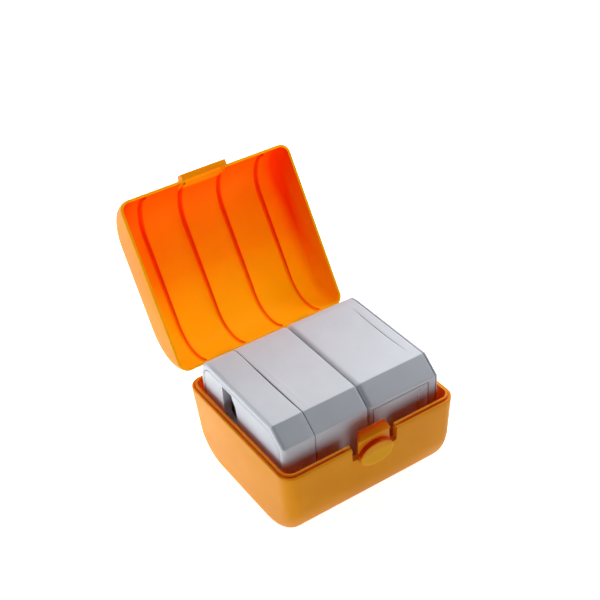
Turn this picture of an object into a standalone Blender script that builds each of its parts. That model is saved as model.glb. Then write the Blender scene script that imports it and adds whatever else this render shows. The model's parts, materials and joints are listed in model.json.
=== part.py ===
"""A two-piece plug adapter set in its snap-latch carrying case, lid open.

Frame: metres, +Z up, +X to the right and -Y to the front, where the latch is. The origin is the middle
of the flat that the case stands on. Heights of the case are given from its rim plane, as the tub, the
lid and the modules all meet there.
"""

import math

import bmesh
import bpy
from mathutils import Matrix, Vector

MM = 0.001
# clearance between separate mouldings, how far a cutter runs past the face it opens, and the small rounding
GAP = 0.3 * MM
PAST = 5.0 * MM
EDGE_ROUND = 0.4 * MM

# case
CASE_W = 85.0 * MM
CASE_D = 77.5 * MM
TUB_DEPTH = 39.7 * MM
TUB_WALL = 2.6 * MM
TUB_FRONT_RADIUS = 21.3 * MM
TUB_BACK_RADIUS = 17.2 * MM
TUB_SIDE_RADIUS = 6.4 * MM
TUB_DRAFT_FRONT = 1.8 * MM
TUB_DRAFT_BACK = 1.9 * MM
TUB_DRAFT_SIDE = 2.3 * MM
CAVITY_DRAFT_SIDE = 1.3 * MM
LEDGE = 1.5 * MM
LIP_HEIGHT = 1.0 * MM
RIM_Z = TUB_DEPTH
FRONT = -CASE_D / 2
BACK = CASE_D / 2

LID_RIM_Z = RIM_Z + GAP
LID_DEPTH = 20.1 * MM
LID_WALL = 1.2 * MM
LID_FRONT_RADIUS = 19.6 * MM
LID_BACK_RADIUS = 19.8 * MM
LID_SIDE_RADIUS = 4.7 * MM
LID_DRAFT_FRONT = 1.3 * MM
LID_DRAFT_BACK = 1.8 * MM
LID_OPEN_ANGLE = math.radians(121.0)

RIB_X = (-29.8 * MM, -9.9 * MM, 9.9 * MM, 29.8 * MM)
RIB_THICK = 1.0 * MM
RIB_PANEL = 1.6 * MM
RIB_FRONT = 0.8 * MM
RIB_BACK = 0.4 * MM
RIB_ROUND_LESS = 4.1 * MM

# hinge, behind the back rim
HINGE_Y = BACK + 2.05 * MM
HINGE_Z = RIM_Z + 0.36 * MM
BARREL_R = 1.65 * MM
PIN_R = 0.85 * MM
PIN_BORE_R = 0.95 * MM
HINGE_HALF = 24.0 * MM
BORE_LENGTH = 2 * HINGE_HALF + 2 * PAST
BASE_BARREL_HALF = 15.8 * MM

# latch at the middle of the front rim
NOTCH_HALF = 11.0 * MM
NOTCH_DEPTH = 6.4 * MM
TONGUE_HALF = 7.7 * MM
TONGUE_FRONT = FRONT + 0.55 * MM
HOOK_TOP_Z = RIM_Z + 5.6 * MM
HOOK_TOP_FLAT = 0.35 * MM
HOOK_TOP_SHARE = 0.84
HOOK_LIP_Y = FRONT - 0.2 * MM
HOOK_LIP_Z = RIM_Z + 1.7 * MM
HOOK_LIP_THICK = 0.6 * MM
BUTTON_HALF_W = 8.25 * MM
BUTTON_HALF_H = 5.6 * MM
BUTTON_Z = RIM_Z - 6.3 * MM
BUTTON_PROUD = 1.7 * MM
LATCH_AXIS_Y = FRONT + 1.3 * MM
LATCH_AXIS_Z = RIM_Z - NOTCH_DEPTH
HOOD_HALF = 11.1 * MM
HOOD_PROUD = 2.4 * MM
HOOD_HEIGHT = 6.0 * MM
HOOD_WALL = 1.2 * MM
CATCH_THICK = 1.0 * MM
POCKET_REACH = 8.0 * MM

# modules
MODULE_TOP = RIM_Z + 15.4 * MM
MODULE_BOTTOM = RIM_Z - 31.8 * MM
MODULE_FRONT = -30.8 * MM
MODULE_BACK = 33.0 * MM
BEVEL_RUN = 8.1 * MM
BEVEL_DROP = 6.8 * MM
MODULE_BACK_RADIUS = 8.5 * MM
MODULE_WALL = 2.0 * MM
PART_GAP = 0.3 * MM
SOCKET_LEFT = -37.9 * MM
SOCKET_RIGHT = 2.5 * MM
SOCKET_PARTING = -23.1 * MM
SOCKET_END_ROUND = 1.7 * MM
WINDOW_INSET = 2.9 * MM
PLATE_GAP = 0.15 * MM
PLUG_LEFT = 2.9 * MM
PLUG_RIGHT = 38.3 * MM
PLUG_PARTING = 37.1 * MM
PLUG_LEFT_ROUND = 2.6 * MM
PLUG_RIGHT_ROUND = 0.8 * MM
PLUG_WALL = 2.6 * MM

# plug opening of the socket module, in a 22.2 mm pin triangle
PIN_PITCH = 22.2 * MM
LIVE_Y = 10.0 * MM
SLOT_W = 5.25 * MM
SLOT_H = 8.3 * MM
EARTH_HALF = (4.2 * MM, 2.4 * MM)
MODULE_MID_Z = (MODULE_TOP + MODULE_BOTTOM) / 2
PLATE_THICK = 1.6 * MM
SHUTTER_TRAVEL = 4.0 * MM

SCREW_R = 1.2 * MM
SCREW_HEAD = 1.6 * MM
SCREW_HEAD_R = 2.6 * MM
SCREW_HOLE_R = 1.35 * MM
SCREW_SEAT_R = 2.9 * MM
SEAT_BOSS_R = 4.0 * MM
THREAD_R = SCREW_R + 0.05 * MM

# fuse compartment of the plug module
COVER_LEFT = 5.4 * MM
COVER_RIGHT = 33.2 * MM
COVER_TOP = RIM_Z + 6.9 * MM
COVER_BOTTOM = RIM_Z - 15.0 * MM
COVER_THICK = 1.2 * MM
COVER_REST = 2.0 * MM
FUSE_WELL_HALF = 4.6 * MM
RIDGE_PROUD = 0.2 * MM
FUSE_R = 3.15 * MM
FUSE_LENGTH = 25.4 * MM
FUSE_CUP = 5.6 * MM
FUSE_CUP_END = 0.8 * MM


def empty_scene():
    for old in list(bpy.data.objects):
        bpy.data.objects.remove(old)


def collection(name):
    made = bpy.data.collections.new(name)
    bpy.context.scene.collection.children.link(made)
    return made


empty_scene()
PARTS = collection("cased_plug_adapter_set")
CUTTERS = collection("cutters")


def material(name, colour, roughness, metallic=0.0):
    made = bpy.data.materials.get(name)
    if made:
        return made
    made = bpy.data.materials.new(name)
    made.use_nodes = True
    shader = made.node_tree.nodes["Principled BSDF"]
    shader.inputs["Base Color"].default_value = (*colour, 1.0)
    shader.inputs["Roughness"].default_value = roughness
    shader.inputs["Metallic"].default_value = metallic
    made.diffuse_color = (*colour, 1.0)
    return made


def orange_plastic():
    return material("orange_plastic", (0.82, 0.25, 0.01), 0.42)


def grey_plastic():
    return material("grey_plastic", (0.62, 0.62, 0.66), 0.5)


def white_plastic():
    return material("white_plastic", (0.8, 0.8, 0.77), 0.5)


def dark_plastic():
    return material("dark_plastic", (0.05, 0.05, 0.055), 0.55)


def brass():
    return material("brass", (0.72, 0.52, 0.22), 0.3, 1.0)


def steel():
    return material("steel", (0.6, 0.6, 0.62), 0.3, 1.0)


def ceramic():
    return material("ceramic", (0.85, 0.82, 0.75), 0.35)


# ---------------------------------------------------------------- outlines


def rounded(corners, step=math.radians(11)):
    """A closed outline through corners given as (u, v, radius), each radius turned into an arc."""
    points = []
    count = len(corners)
    for i, (u, v, radius) in enumerate(corners):
        here = Vector((u, v))
        if radius <= 0:
            points.append(here)
            continue
        before = (Vector(corners[i - 1][:2]) - here).normalized()
        after = (Vector(corners[(i + 1) % count][:2]) - here).normalized()
        half = before.angle(after) / 2
        centre = here + (before + after).normalized() * (radius / math.sin(half))
        start = here + before * (radius / math.tan(half)) - centre
        turn = start.angle_signed(here + after * (radius / math.tan(half)) - centre)
        steps = max(2, round(abs(turn) / step))
        for k in range(steps + 1):
            points.append(centre + Matrix.Rotation(-turn * k / steps, 2) @ start)
    return [tuple(p) for p in points]


def ellipse(u, v, half_u, half_v, count=32):
    angles = [2 * math.pi * k / count for k in range(count)]
    return [(u + half_u * math.cos(a), v + half_v * math.sin(a)) for a in angles]


def shell_outline(way, inset, depth, radii, drafts, over):
    """Side view of a tub (way -1) or a lid (way 1): an open-ended U, run past the rim by over."""
    front, back = FRONT + inset, BACK - inset
    rim = RIM_Z if way < 0 else LID_RIM_Z
    lean_front = drafts[0] * over / depth
    lean_back = drafts[1] * over / depth
    return rounded(
        [
            (front - lean_front, rim - way * over, 0),
            (front + drafts[0], rim + way * depth, radii[0]),
            (back - drafts[1], rim + way * depth, radii[1]),
            (back + lean_back, rim - way * over, 0),
        ]
    )


def module_outline(inset=0.0):
    """Side view shared by both modules: bevelled along the front, well rounded along the back."""
    low, high = MODULE_BOTTOM + inset, MODULE_TOP - inset
    front, back = MODULE_FRONT + inset, MODULE_BACK - inset
    slack = inset * 0.45
    back_radius = MODULE_BACK_RADIUS - inset
    return rounded(
        [
            (front, MODULE_TOP - BEVEL_DROP - slack, 0),
            (MODULE_FRONT + BEVEL_RUN + slack, high, 0),
            (back, high, back_radius),
            (back, low, back_radius),
            (MODULE_FRONT + BEVEL_RUN + slack, low, 0),
            (front, MODULE_BOTTOM + BEVEL_DROP + slack, 0),
        ]
    )


# ---------------------------------------------------------------- solids

AXES = {
    "X": Matrix(((0, 0, 1, 0), (1, 0, 0, 0), (0, 1, 0, 0), (0, 0, 0, 1))),
    "Y": Matrix(((1, 0, 0, 0), (0, 0, -1, 0), (0, 1, 0, 0), (0, 0, 0, 1))),
    "Z": Matrix.Identity(4),
}


def tidy_mesh(mesh):
    """Welds a curve's caps to its sides and makes each flat end one face again."""
    form = bmesh.new()
    form.from_mesh(mesh)
    bmesh.ops.remove_doubles(form, verts=form.verts, dist=0.001 * MM)
    bmesh.ops.dissolve_limit(form, angle_limit=0.01, verts=form.verts, edges=form.edges)
    bmesh.ops.recalc_face_normals(form, faces=form.faces)
    form.to_mesh(mesh)
    form.free()


def prism(name, outlines, axis, low, high):
    """A mesh object: flat outlines (holes are outlines inside the first) extruded from low to high.

    Axis X takes outlines in (y, z), axis Y in (x, z) and axis Z in (x, y).
    """
    curve = bpy.data.curves.new(name, "CURVE")
    curve.dimensions = "2D"
    curve.fill_mode = "BOTH"
    curve.extrude = (high - low) / 2
    for points in outlines:
        spline = curve.splines.new("POLY")
        spline.points.add(len(points) - 1)
        for point, (u, v) in zip(spline.points, points):
            point.co = (u, v, 0, 1)
        spline.use_cyclic_u = True
    flat = bpy.data.objects.new(name + "_outline", curve)
    bpy.context.scene.collection.objects.link(flat)
    offset = -(low + high) / 2 if axis == "Y" else (low + high) / 2
    flat.matrix_world = AXES[axis] @ Matrix.Translation((0, 0, offset))
    bpy.context.view_layer.update()
    evaluated = flat.evaluated_get(bpy.context.evaluated_depsgraph_get())
    mesh = bpy.data.meshes.new_from_object(evaluated)
    mesh.transform(flat.matrix_world)
    bpy.data.objects.remove(flat)
    tidy_mesh(mesh)
    mesh.name = name
    return bpy.data.objects.new(name, mesh)


def box(name, low, high):
    form = bmesh.new()
    size = [high[k] - low[k] for k in range(3)]
    middle = [(high[k] + low[k]) / 2 for k in range(3)]
    bmesh.ops.create_cube(form, size=1.0, matrix=Matrix.Translation(middle) @ Matrix.Diagonal((*size, 1)))
    mesh = bpy.data.meshes.new(name)
    form.to_mesh(mesh)
    form.free()
    return bpy.data.objects.new(name, mesh)


def cylinder(name, centre, axis, radius, length, sides=24, end_radius=None):
    turn = {"X": Matrix.Rotation(math.pi / 2, 4, "Y"), "Y": Matrix.Rotation(math.pi / 2, 4, "X")}
    form = bmesh.new()
    bmesh.ops.create_cone(
        form,
        cap_ends=True,
        segments=sides,
        radius1=radius,
        radius2=radius if end_radius is None else end_radius,
        depth=length,
        matrix=Matrix.Translation(centre) @ turn.get(axis, Matrix.Identity(4)),
    )
    mesh = bpy.data.meshes.new(name)
    form.to_mesh(mesh)
    form.free()
    return bpy.data.objects.new(name, mesh)


def keep(thing, surface):
    """Puts a finished piece in the parts collection with its material and smooth round faces."""
    thing.data.materials.clear()
    thing.data.materials.append(surface)
    PARTS.objects.link(thing)
    thing.data.shade_smooth()
    thing.data.set_sharp_from_angle(angle=math.radians(35))
    return thing


def cutter(thing):
    CUTTERS.objects.link(thing)
    thing.hide_render = True
    thing.display_type = "WIRE"
    return thing


def boolean(thing, other, operation):
    if other.name not in CUTTERS.objects:
        cutter(other)
    step = thing.modifiers.new(operation.lower() + "_" + other.name, "BOOLEAN")
    step.operation = operation
    step.solver = "EXACT"
    step.object = other
    return thing


def cut(thing, *others):
    for other in others:
        boolean(thing, other, "DIFFERENCE")
    return thing


def join(thing, *others):
    for other in others:
        boolean(thing, other, "UNION")
    return thing


def round_edges(thing, width, segments=2, above=75):
    """Rounds the edges whose faces meet at more than the given angle, in degrees."""
    step = thing.modifiers.new("rounding", "BEVEL")
    step.width = width
    step.segments = segments
    step.limit_method = "ANGLE"
    step.angle_limit = math.radians(above)
    return thing


def round_end(thing, x, width, segments):
    """Rounds only the outline edge that lies in the plane at x."""
    weights = thing.data.attributes.new("bevel_weight_edge", "FLOAT", "EDGE")
    for edge in thing.data.edges:
        away = max(abs(thing.data.vertices[i].co.x - x) for i in edge.vertices)
        weights.data[edge.index].value = float(away < 0.01 * MM)
    step = thing.modifiers.new("end_rounding", "BEVEL")
    step.width = width
    step.segments = segments
    step.limit_method = "WEIGHT"
    return thing


def lean_sides(thing, way, draft, depth):
    """Draws the two ends of a prism along X in towards the bottom of a tub or the top of a lid."""
    for vertex in thing.data.vertices:
        inward = draft * way * (vertex.co.z - RIM_Z) / depth
        vertex.co.x -= inward if vertex.co.x > 0 else -inward
    return thing


# ---------------------------------------------------------------- case


def tub_cavity():
    inside = shell_outline(
        -1,
        TUB_WALL,
        TUB_DEPTH - TUB_WALL,
        (TUB_FRONT_RADIUS - TUB_WALL, TUB_BACK_RADIUS - TUB_WALL),
        (TUB_DRAFT_FRONT, TUB_DRAFT_BACK),
        8 * MM,
    )
    half = CASE_W / 2 - TUB_WALL
    cavity = prism("tub_cavity", [inside], "X", -half, half)
    lean_sides(cavity, -1, CAVITY_DRAFT_SIDE, TUB_DEPTH)
    round_edges(cavity, TUB_SIDE_RADIUS - TUB_WALL, 4)
    for k, x in enumerate(RIB_X):
        rib = box(
            f"tub_rib_{k}",
            (x - RIB_THICK / 2, FRONT, -PAST),
            (x + RIB_THICK / 2, BACK, MODULE_BOTTOM - GAP),
        )
        cut(cavity, rib)
    return cavity


def rim_step():
    """The ring cut away outside the lip, down to the ledge that the lid's rim sits on."""
    over = 6 * PAST
    half = CASE_W / 2 - LEDGE
    outline = [
        (FRONT + LEDGE, RIM_Z - over),
        (BACK - LEDGE, RIM_Z - over),
        (BACK - LEDGE, RIM_Z + over),
        (FRONT + LEDGE, RIM_Z + over),
    ]
    lip = prism("lip_core", [outline], "X", -half, half)
    round_edges(lip, TUB_SIDE_RADIUS - LEDGE, 5)
    ring = box(
        "rim_ring",
        (-CASE_W, 2 * FRONT, RIM_Z),
        (CASE_W, 2 * BACK, RIM_Z + over),
    )
    return cut(ring, lip)


def case_base():
    outside = shell_outline(
        -1,
        0.0,
        TUB_DEPTH,
        (TUB_FRONT_RADIUS, TUB_BACK_RADIUS),
        (TUB_DRAFT_FRONT, TUB_DRAFT_BACK),
        12 * MM,
    )
    base = prism("case_base", [outside], "X", -CASE_W / 2, CASE_W / 2)
    lean_sides(base, -1, TUB_DRAFT_SIDE, TUB_DEPTH)
    round_edges(base, TUB_SIDE_RADIUS, 5)
    above = box(
        "above_lip",
        (-CASE_W, 2 * FRONT, RIM_Z + LIP_HEIGHT),
        (CASE_W, 2 * BACK, RIM_Z + 6 * PAST),
    )
    notch = box(
        "latch_notch",
        (-NOTCH_HALF, FRONT - PAST, RIM_Z - NOTCH_DEPTH),
        (NOTCH_HALF, FRONT + PAST, RIM_Z + PAST),
    )
    cut(base, above, tub_cavity(), rim_step(), notch)
    join(base, base_hinge())
    for side in (-1, 1):
        join(base, stop_lug(side))
    bore = cylinder("base_bore", (0, HINGE_Y, HINGE_Z), "X", PIN_BORE_R, BORE_LENGTH)
    cut(base, bore)
    return keep(base, orange_plastic())


def base_hinge():
    """The long middle barrel and the gusset that carries it on the back wall."""
    barrel = cylinder("base_barrel", (0, HINGE_Y, HINGE_Z), "X", BARREL_R, 2 * BASE_BARREL_HALF)
    web = prism(
        "base_hinge_web",
        [
            [
                (BACK - 1.2 * MM, RIM_Z - 6.5 * MM),
                (HINGE_Y + 0.9 * MM, HINGE_Z - 1.0 * MM),
                (HINGE_Y - 0.6 * MM, HINGE_Z - 0.7 * MM),
                (BACK - 1.2 * MM, RIM_Z - 0.3 * MM),
            ]
        ],
        "X",
        -BASE_BARREL_HALF,
        BASE_BARREL_HALF,
    )
    return join(barrel, web)


def lug_span(side):
    inner = BASE_BARREL_HALF + GAP + 1.0 * MM
    outer = HINGE_HALF - 1.0 * MM
    return sorted((side * inner, side * outer))


def stop_lug(side):
    """Under each lid knuckle, where the heel of the open lid comes to rest."""
    low, high = lug_span(side)
    outline = [
        (BACK - 1.0 * MM, RIM_Z - 5.6 * MM),
        (HINGE_Y + 1.1 * MM, HINGE_Z - 3.4 * MM),
        (HINGE_Y + 1.1 * MM, HINGE_Z - 2.75 * MM),
        (BACK - 1.0 * MM, HINGE_Z - 2.75 * MM),
    ]
    return prism(f"stop_lug_{'left' if side < 0 else 'right'}", [outline], "X", low, high)


def lid_rib_blanks(line):
    """Slabs as thick as a rib, each with everything inside the rib's free edge cut away."""
    blanks = []
    for k, x in enumerate(RIB_X):
        slab = box(
            f"lid_rib_slab_{k}",
            (x - RIB_THICK / 2, FRONT - PAST, LID_RIM_Z - LID_DEPTH),
            (x + RIB_THICK / 2, BACK + PAST, LID_RIM_Z + 2 * LID_DEPTH),
        )
        blanks.append(cut(slab, line))
    return blanks


def lid_cavity():
    inside = shell_outline(
        1,
        LID_WALL,
        LID_DEPTH - LID_WALL,
        (LID_FRONT_RADIUS - LID_WALL, LID_BACK_RADIUS - LID_WALL),
        (LID_DRAFT_FRONT, LID_DRAFT_BACK),
        8 * MM,
    )
    half = CASE_W / 2 - LID_WALL
    cavity = prism("lid_cavity", [inside], "X", -half, half)
    round_edges(cavity, LID_SIDE_RADIUS - LID_WALL, 4)
    foot = LID_RIM_Z + 0.6 * MM
    crest = LID_RIM_Z + LID_DEPTH - LID_WALL - RIB_PANEL
    front, back = FRONT + LID_WALL + RIB_FRONT, BACK - LID_WALL - RIB_BACK
    front_round = LID_FRONT_RADIUS - LID_WALL - RIB_ROUND_LESS
    back_round = LID_BACK_RADIUS - LID_WALL - RIB_ROUND_LESS + 0.7 * MM
    free_edge = rounded(
        [
            (front, foot, 0),
            (front + LID_DRAFT_FRONT, crest, front_round),
            (back - LID_DRAFT_BACK, crest, back_round),
            (back, foot, 0),
        ]
    )
    line = prism("rib_free_edge", [free_edge], "X", -CASE_W, CASE_W)
    mouth = box(
        "rib_free_mouth",
        (-CASE_W, 2 * FRONT, LID_RIM_Z - 2 * LID_DEPTH),
        (CASE_W, 2 * BACK, LID_RIM_Z + 1.5 * MM),
    )
    for blank in lid_rib_blanks(line):
        cut(blank, mouth)
        cut(cavity, blank)
    return cavity


def hood():
    """The part of the lid's front that stands out over the latch, and the catch inside it."""
    outer = FRONT - HOOD_PROUD
    outline = rounded(
        [
            (outer, LID_RIM_Z, 0.4 * MM),
            (FRONT + 0.9 * MM, LID_RIM_Z, 0),
            (FRONT + 3.2 * MM, LID_RIM_Z + HOOD_HEIGHT + 2.6 * MM, 0),
            (outer, LID_RIM_Z + HOOD_HEIGHT - 1.0 * MM, 1.2 * MM),
        ]
    )
    return prism("latch_hood", [outline], "X", -HOOD_HALF, HOOD_HALF)


def hood_pocket():
    """Room inside the hood for the hook: above the catch, out to the hood's own wall."""
    inner = FRONT - HOOD_PROUD + HOOD_WALL
    outline = [
        (inner, LID_RIM_Z + CATCH_THICK),
        (FRONT + POCKET_REACH, LID_RIM_Z + CATCH_THICK),
        (FRONT + POCKET_REACH, LID_RIM_Z + HOOD_HEIGHT - 0.2 * MM),
        (FRONT + 1.4 * MM, LID_RIM_Z + HOOD_HEIGHT - 0.2 * MM),
        (inner, LID_RIM_Z + HOOD_HEIGHT - 2.2 * MM),
    ]
    half = HOOD_HALF - HOOD_WALL
    return prism("hood_pocket", [outline], "X", -half, half)


def hood_mouth():
    """The way in past the catch for the hook."""
    half = HOOD_HALF - HOOD_WALL
    return box(
        "hood_mouth",
        (-half, FRONT + 0.25 * MM, LID_RIM_Z - PAST),
        (half, FRONT + POCKET_REACH, LID_RIM_Z + 3 * MM),
    )


def lid_knuckle(side):
    """A barrel at each end of the hinge, its arm to the lid's back wall, and the stop heel."""
    inner = BASE_BARREL_HALF + GAP
    low, high = sorted((side * inner, side * HINGE_HALF))
    tag = "left" if side < 0 else "right"
    middle = (low + high) / 2
    barrel = cylinder(f"knuckle_{tag}", (middle, HINGE_Y, HINGE_Z), "X", BARREL_R, high - low)
    arm = prism(
        f"knuckle_arm_{tag}",
        [
            [
                (BACK - 0.9 * MM, HINGE_Z + 0.35 * MM),
                (HINGE_Y, HINGE_Z + 0.2 * MM),
                (HINGE_Y + 0.3 * MM, HINGE_Z + 1.5 * MM),
                (BACK - 0.9 * MM, HINGE_Z + 3.2 * MM),
            ]
        ],
        "X",
        low,
        high,
    )
    heel_low, heel_high = lug_span(side)
    heel = prism(
        f"stop_heel_{tag}",
        [
            [
                (HINGE_Y - 0.3 * MM, HINGE_Z + 0.2 * MM),
                (HINGE_Y + 1.3 * MM, HINGE_Z + 0.2 * MM),
                (HINGE_Y + 1.3 * MM, HINGE_Z + 2.5 * MM),
                (HINGE_Y - 0.3 * MM, HINGE_Z + 2.5 * MM),
            ]
        ],
        "X",
        heel_low + 0.5 * MM,
        heel_high - 0.5 * MM,
    )
    return join(barrel, arm, heel)


def case_lid():
    """Modelled shut, GAP above the ledge of the tub, and turned open by its parent empty."""
    outside = shell_outline(
        1,
        0.0,
        LID_DEPTH,
        (LID_FRONT_RADIUS, LID_BACK_RADIUS),
        (LID_DRAFT_FRONT, LID_DRAFT_BACK),
        12 * MM,
    )
    lid = prism("case_lid", [outside], "X", -CASE_W / 2, CASE_W / 2)
    round_edges(lid, LID_SIDE_RADIUS, 5)
    below = box(
        "below_lid_rim",
        (-CASE_W, 2 * FRONT, LID_RIM_Z - 2 * LID_DEPTH),
        (CASE_W, 2 * BACK, LID_RIM_Z),
    )
    join(lid, hood())
    cut(lid, lid_cavity(), hood_pocket(), hood_mouth(), below)
    for side in (-1, 1):
        join(lid, lid_knuckle(side))
    cut(lid, cylinder("lid_bore", (0, HINGE_Y, HINGE_Z), "X", PIN_BORE_R, BORE_LENGTH))
    return keep(lid, orange_plastic())


def hinge_pin():
    pin = cylinder("hinge_pin", (0, HINGE_Y, HINGE_Z), "X", PIN_R, 2 * HINGE_HALF - 1.0 * MM)
    return keep(pin, steel())


def latch_tongue():
    """Spring tongue, wedge hook and oval push button, moulded as one."""
    back = FRONT + TUB_WALL
    root = RIM_Z - NOTCH_DEPTH + GAP
    tongue = prism(
        "latch_tongue",
        [
            [
                (TONGUE_FRONT, root),
                (back, root),
                (back, HOOK_TOP_Z),
                (back - HOOK_TOP_FLAT, HOOK_TOP_Z),
                (HOOK_LIP_Y, HOOK_LIP_Z + HOOK_LIP_THICK),
                (HOOK_LIP_Y, HOOK_LIP_Z),
                (TONGUE_FRONT, HOOK_LIP_Z),
            ]
        ],
        "X",
        -TONGUE_HALF,
        TONGUE_HALF,
    )
    for vertex in tongue.data.vertices:
        if vertex.co.z > HOOK_TOP_Z - GAP:
            vertex.co.x *= HOOK_TOP_SHARE
    button = prism(
        "button_blank",
        [ellipse(0, BUTTON_Z, BUTTON_HALF_W, BUTTON_HALF_H, 36)],
        "Y",
        FRONT - BUTTON_PROUD,
        FRONT + 2.0 * MM,
    )
    button.name = "latch_button"
    round_edges(button, EDGE_ROUND, 2, 60)
    behind = box(
        "behind_button",
        (-2 * BUTTON_HALF_W, FRONT - GAP, root - 4 * BUTTON_HALF_H),
        (2 * BUTTON_HALF_W, FRONT + PAST, root),
    )
    beside = box(
        "above_button_root",
        (-2 * BUTTON_HALF_W, FRONT + 0.8 * MM, root - 1 * MM),
        (2 * BUTTON_HALF_W, FRONT + PAST, root + 4 * BUTTON_HALF_H),
    )
    cut(button, behind, beside)
    join(tongue, button)
    return keep(tongue, orange_plastic())


# ---------------------------------------------------------------- socket module


def socket_body():
    body = prism("socket_body", [module_outline()], "X", SOCKET_PARTING + PART_GAP / 2, SOCKET_RIGHT)
    hollow = prism(
        "socket_body_hollow",
        [module_outline(MODULE_WALL)],
        "X",
        SOCKET_PARTING - PAST,
        SOCKET_RIGHT - MODULE_WALL,
    )
    round_edges(body, EDGE_ROUND, 2, 30)
    cut(body, hollow)
    for k, (y, z) in enumerate(socket_screw_places()):
        end = SOCKET_RIGHT - MODULE_WALL / 2
        join(body, boss(f"socket_boss_{k}", SOCKET_BOSS_X, end, y, z, SEAT_BOSS_R))
        cut(body, boss(f"socket_hole_{k}", SOCKET_BOSS_X - PAST, SOCKET_RIGHT, y, z, SCREW_HOLE_R))
        cut(body, boss(f"socket_seat_{k}", SOCKET_SEAT_X, SOCKET_RIGHT + PAST, y, z, SCREW_SEAT_R))
    for k, y in enumerate((LIVE_Y, LIVE_Y - PIN_PITCH)):
        start, end = CARRIER_X + CARRIER_DEPTH + GAP, SOCKET_RIGHT - MODULE_WALL / 2
        join(body, boss(f"carrier_post_{k}", start, end, y, MODULE_MID_Z))
    return keep(body, grey_plastic())


def socket_end_cap():
    cap = prism(
        "socket_end_cap", [module_outline()], "X", SOCKET_LEFT, SOCKET_PARTING - PART_GAP / 2
    )
    round_end(cap, SOCKET_LEFT, SOCKET_END_ROUND, 3)
    round_edges(cap, EDGE_ROUND, 2, 30)
    hollow = prism(
        "socket_cap_hollow",
        [module_outline(MODULE_WALL)],
        "X",
        SOCKET_LEFT + PLATE_THICK,
        SOCKET_PARTING + PAST,
    )
    window = prism(
        "socket_cap_window",
        [module_outline(WINDOW_INSET)],
        "X",
        SOCKET_LEFT - PAST,
        SOCKET_LEFT + PAST,
    )
    cut(cap, hollow, window)
    for k, (y, z) in enumerate(socket_screw_places()):
        end = SOCKET_PARTING - PART_GAP / 2
        join(cap, boss(f"cap_boss_{k}", SOCKET_LEFT + 4.5 * MM, end, y, z))
        cut(cap, boss(f"cap_thread_{k}", SOCKET_SCREW_TIP - 1 * MM, end + PAST, y, z, THREAD_R))
    return keep(cap, white_plastic())


SOCKET_BOSS_X = SOCKET_RIGHT - 8.5 * MM
SOCKET_SEAT_X = SOCKET_RIGHT - 5.0 * MM
SOCKET_SCREW_TIP = SOCKET_LEFT + 7.5 * MM


def live_centres():
    return [(LIVE_Y, MODULE_MID_Z + PIN_PITCH / 2), (LIVE_Y, MODULE_MID_Z - PIN_PITCH / 2)]


def plug_opening(y, z, way):
    """A stepped opening that takes round, flat and slanted pins; way turns the lower one over."""
    back = y + SLOT_W
    front = y - SLOT_W
    return [
        (back, z + way * SLOT_H),
        (y - 0.40 * SLOT_W, z + way * SLOT_H),
        (y - 0.52 * SLOT_W, z + way * 0.76 * SLOT_H),
        (y - 0.84 * SLOT_W, z + way * 0.48 * SLOT_H),
        (y - 0.94 * SLOT_W, z + way * 0.14 * SLOT_H),
        (front, z - way * 0.28 * SLOT_H),
        (front, z - way * 0.80 * SLOT_H),
        (y - 0.40 * SLOT_W, z - way * SLOT_H),
        (y + 0.60 * SLOT_W, z - way * SLOT_H),
        (back, z - way * 0.76 * SLOT_H),
    ]


def socket_face_plate():
    plate = prism(
        "socket_face_plate",
        [module_outline(WINDOW_INSET + PLATE_GAP)],
        "X",
        SOCKET_LEFT,
        SOCKET_LEFT + PLATE_THICK + GAP + 1.2 * MM,
    )
    flange = prism(
        "plate_flange",
        [module_outline(MODULE_WALL + PLATE_GAP)],
        "X",
        SOCKET_LEFT + PLATE_THICK + GAP,
        SOCKET_LEFT + PLATE_THICK + GAP + 1.6 * MM,
    )
    join(plate, flange)
    for k, (y, z) in enumerate(live_centres()):
        way = 1 if k == 0 else -1
        slot = prism(
            f"plug_opening_{k}",
            [plug_opening(y - 0.55 * MM, z, way)],
            "X",
            SOCKET_LEFT - PAST,
            SOCKET_LEFT + 2 * PAST,
        )
        cut(plate, slot)
    earth = box(
        "earth_opening",
        (SOCKET_LEFT - PAST, LIVE_Y - PIN_PITCH - EARTH_HALF[0], MODULE_MID_Z - EARTH_HALF[1]),
        (SOCKET_LEFT + 2 * PAST, LIVE_Y - PIN_PITCH + EARTH_HALF[0], MODULE_MID_Z + EARTH_HALF[1]),
    )
    cut(plate, earth)
    return keep(plate, white_plastic())


SHUTTER_X = SOCKET_LEFT + 2 * PLATE_THICK + 3 * GAP
SHUTTER_THICK = 1.4 * MM
WINDOW_HALF = (3.6 * MM, 2.4 * MM)
SHUTTER_FRONT = LIVE_Y - 9.0 * MM
SHUTTER_LOW = MODULE_MID_Z - 20.4 * MM
SHUTTER_HIGH = MODULE_MID_Z + 16.2 * MM
SPRING_X = SHUTTER_X + 2.9 * MM
SPRING_Y = SHUTTER_FRONT - 2.6 * MM
SPRING_LOW = MODULE_MID_Z
SPRING_LENGTH = 12.0 * MM
SPRING_RADIUS = 1.5 * MM
SPRING_WIRE = 0.25 * MM
CARRIER_X = SHUTTER_X + SHUTTER_THICK + GAP
CARRIER_DEPTH = 20.0 * MM
CARRIER_FRONT = LIVE_Y - PIN_PITCH - 7.5 * MM
CARRIER_BACK = LIVE_Y + 7.5 * MM
WELL_HALF = 5.2 * MM
WELL_FLOOR = 1.5 * MM


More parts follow.
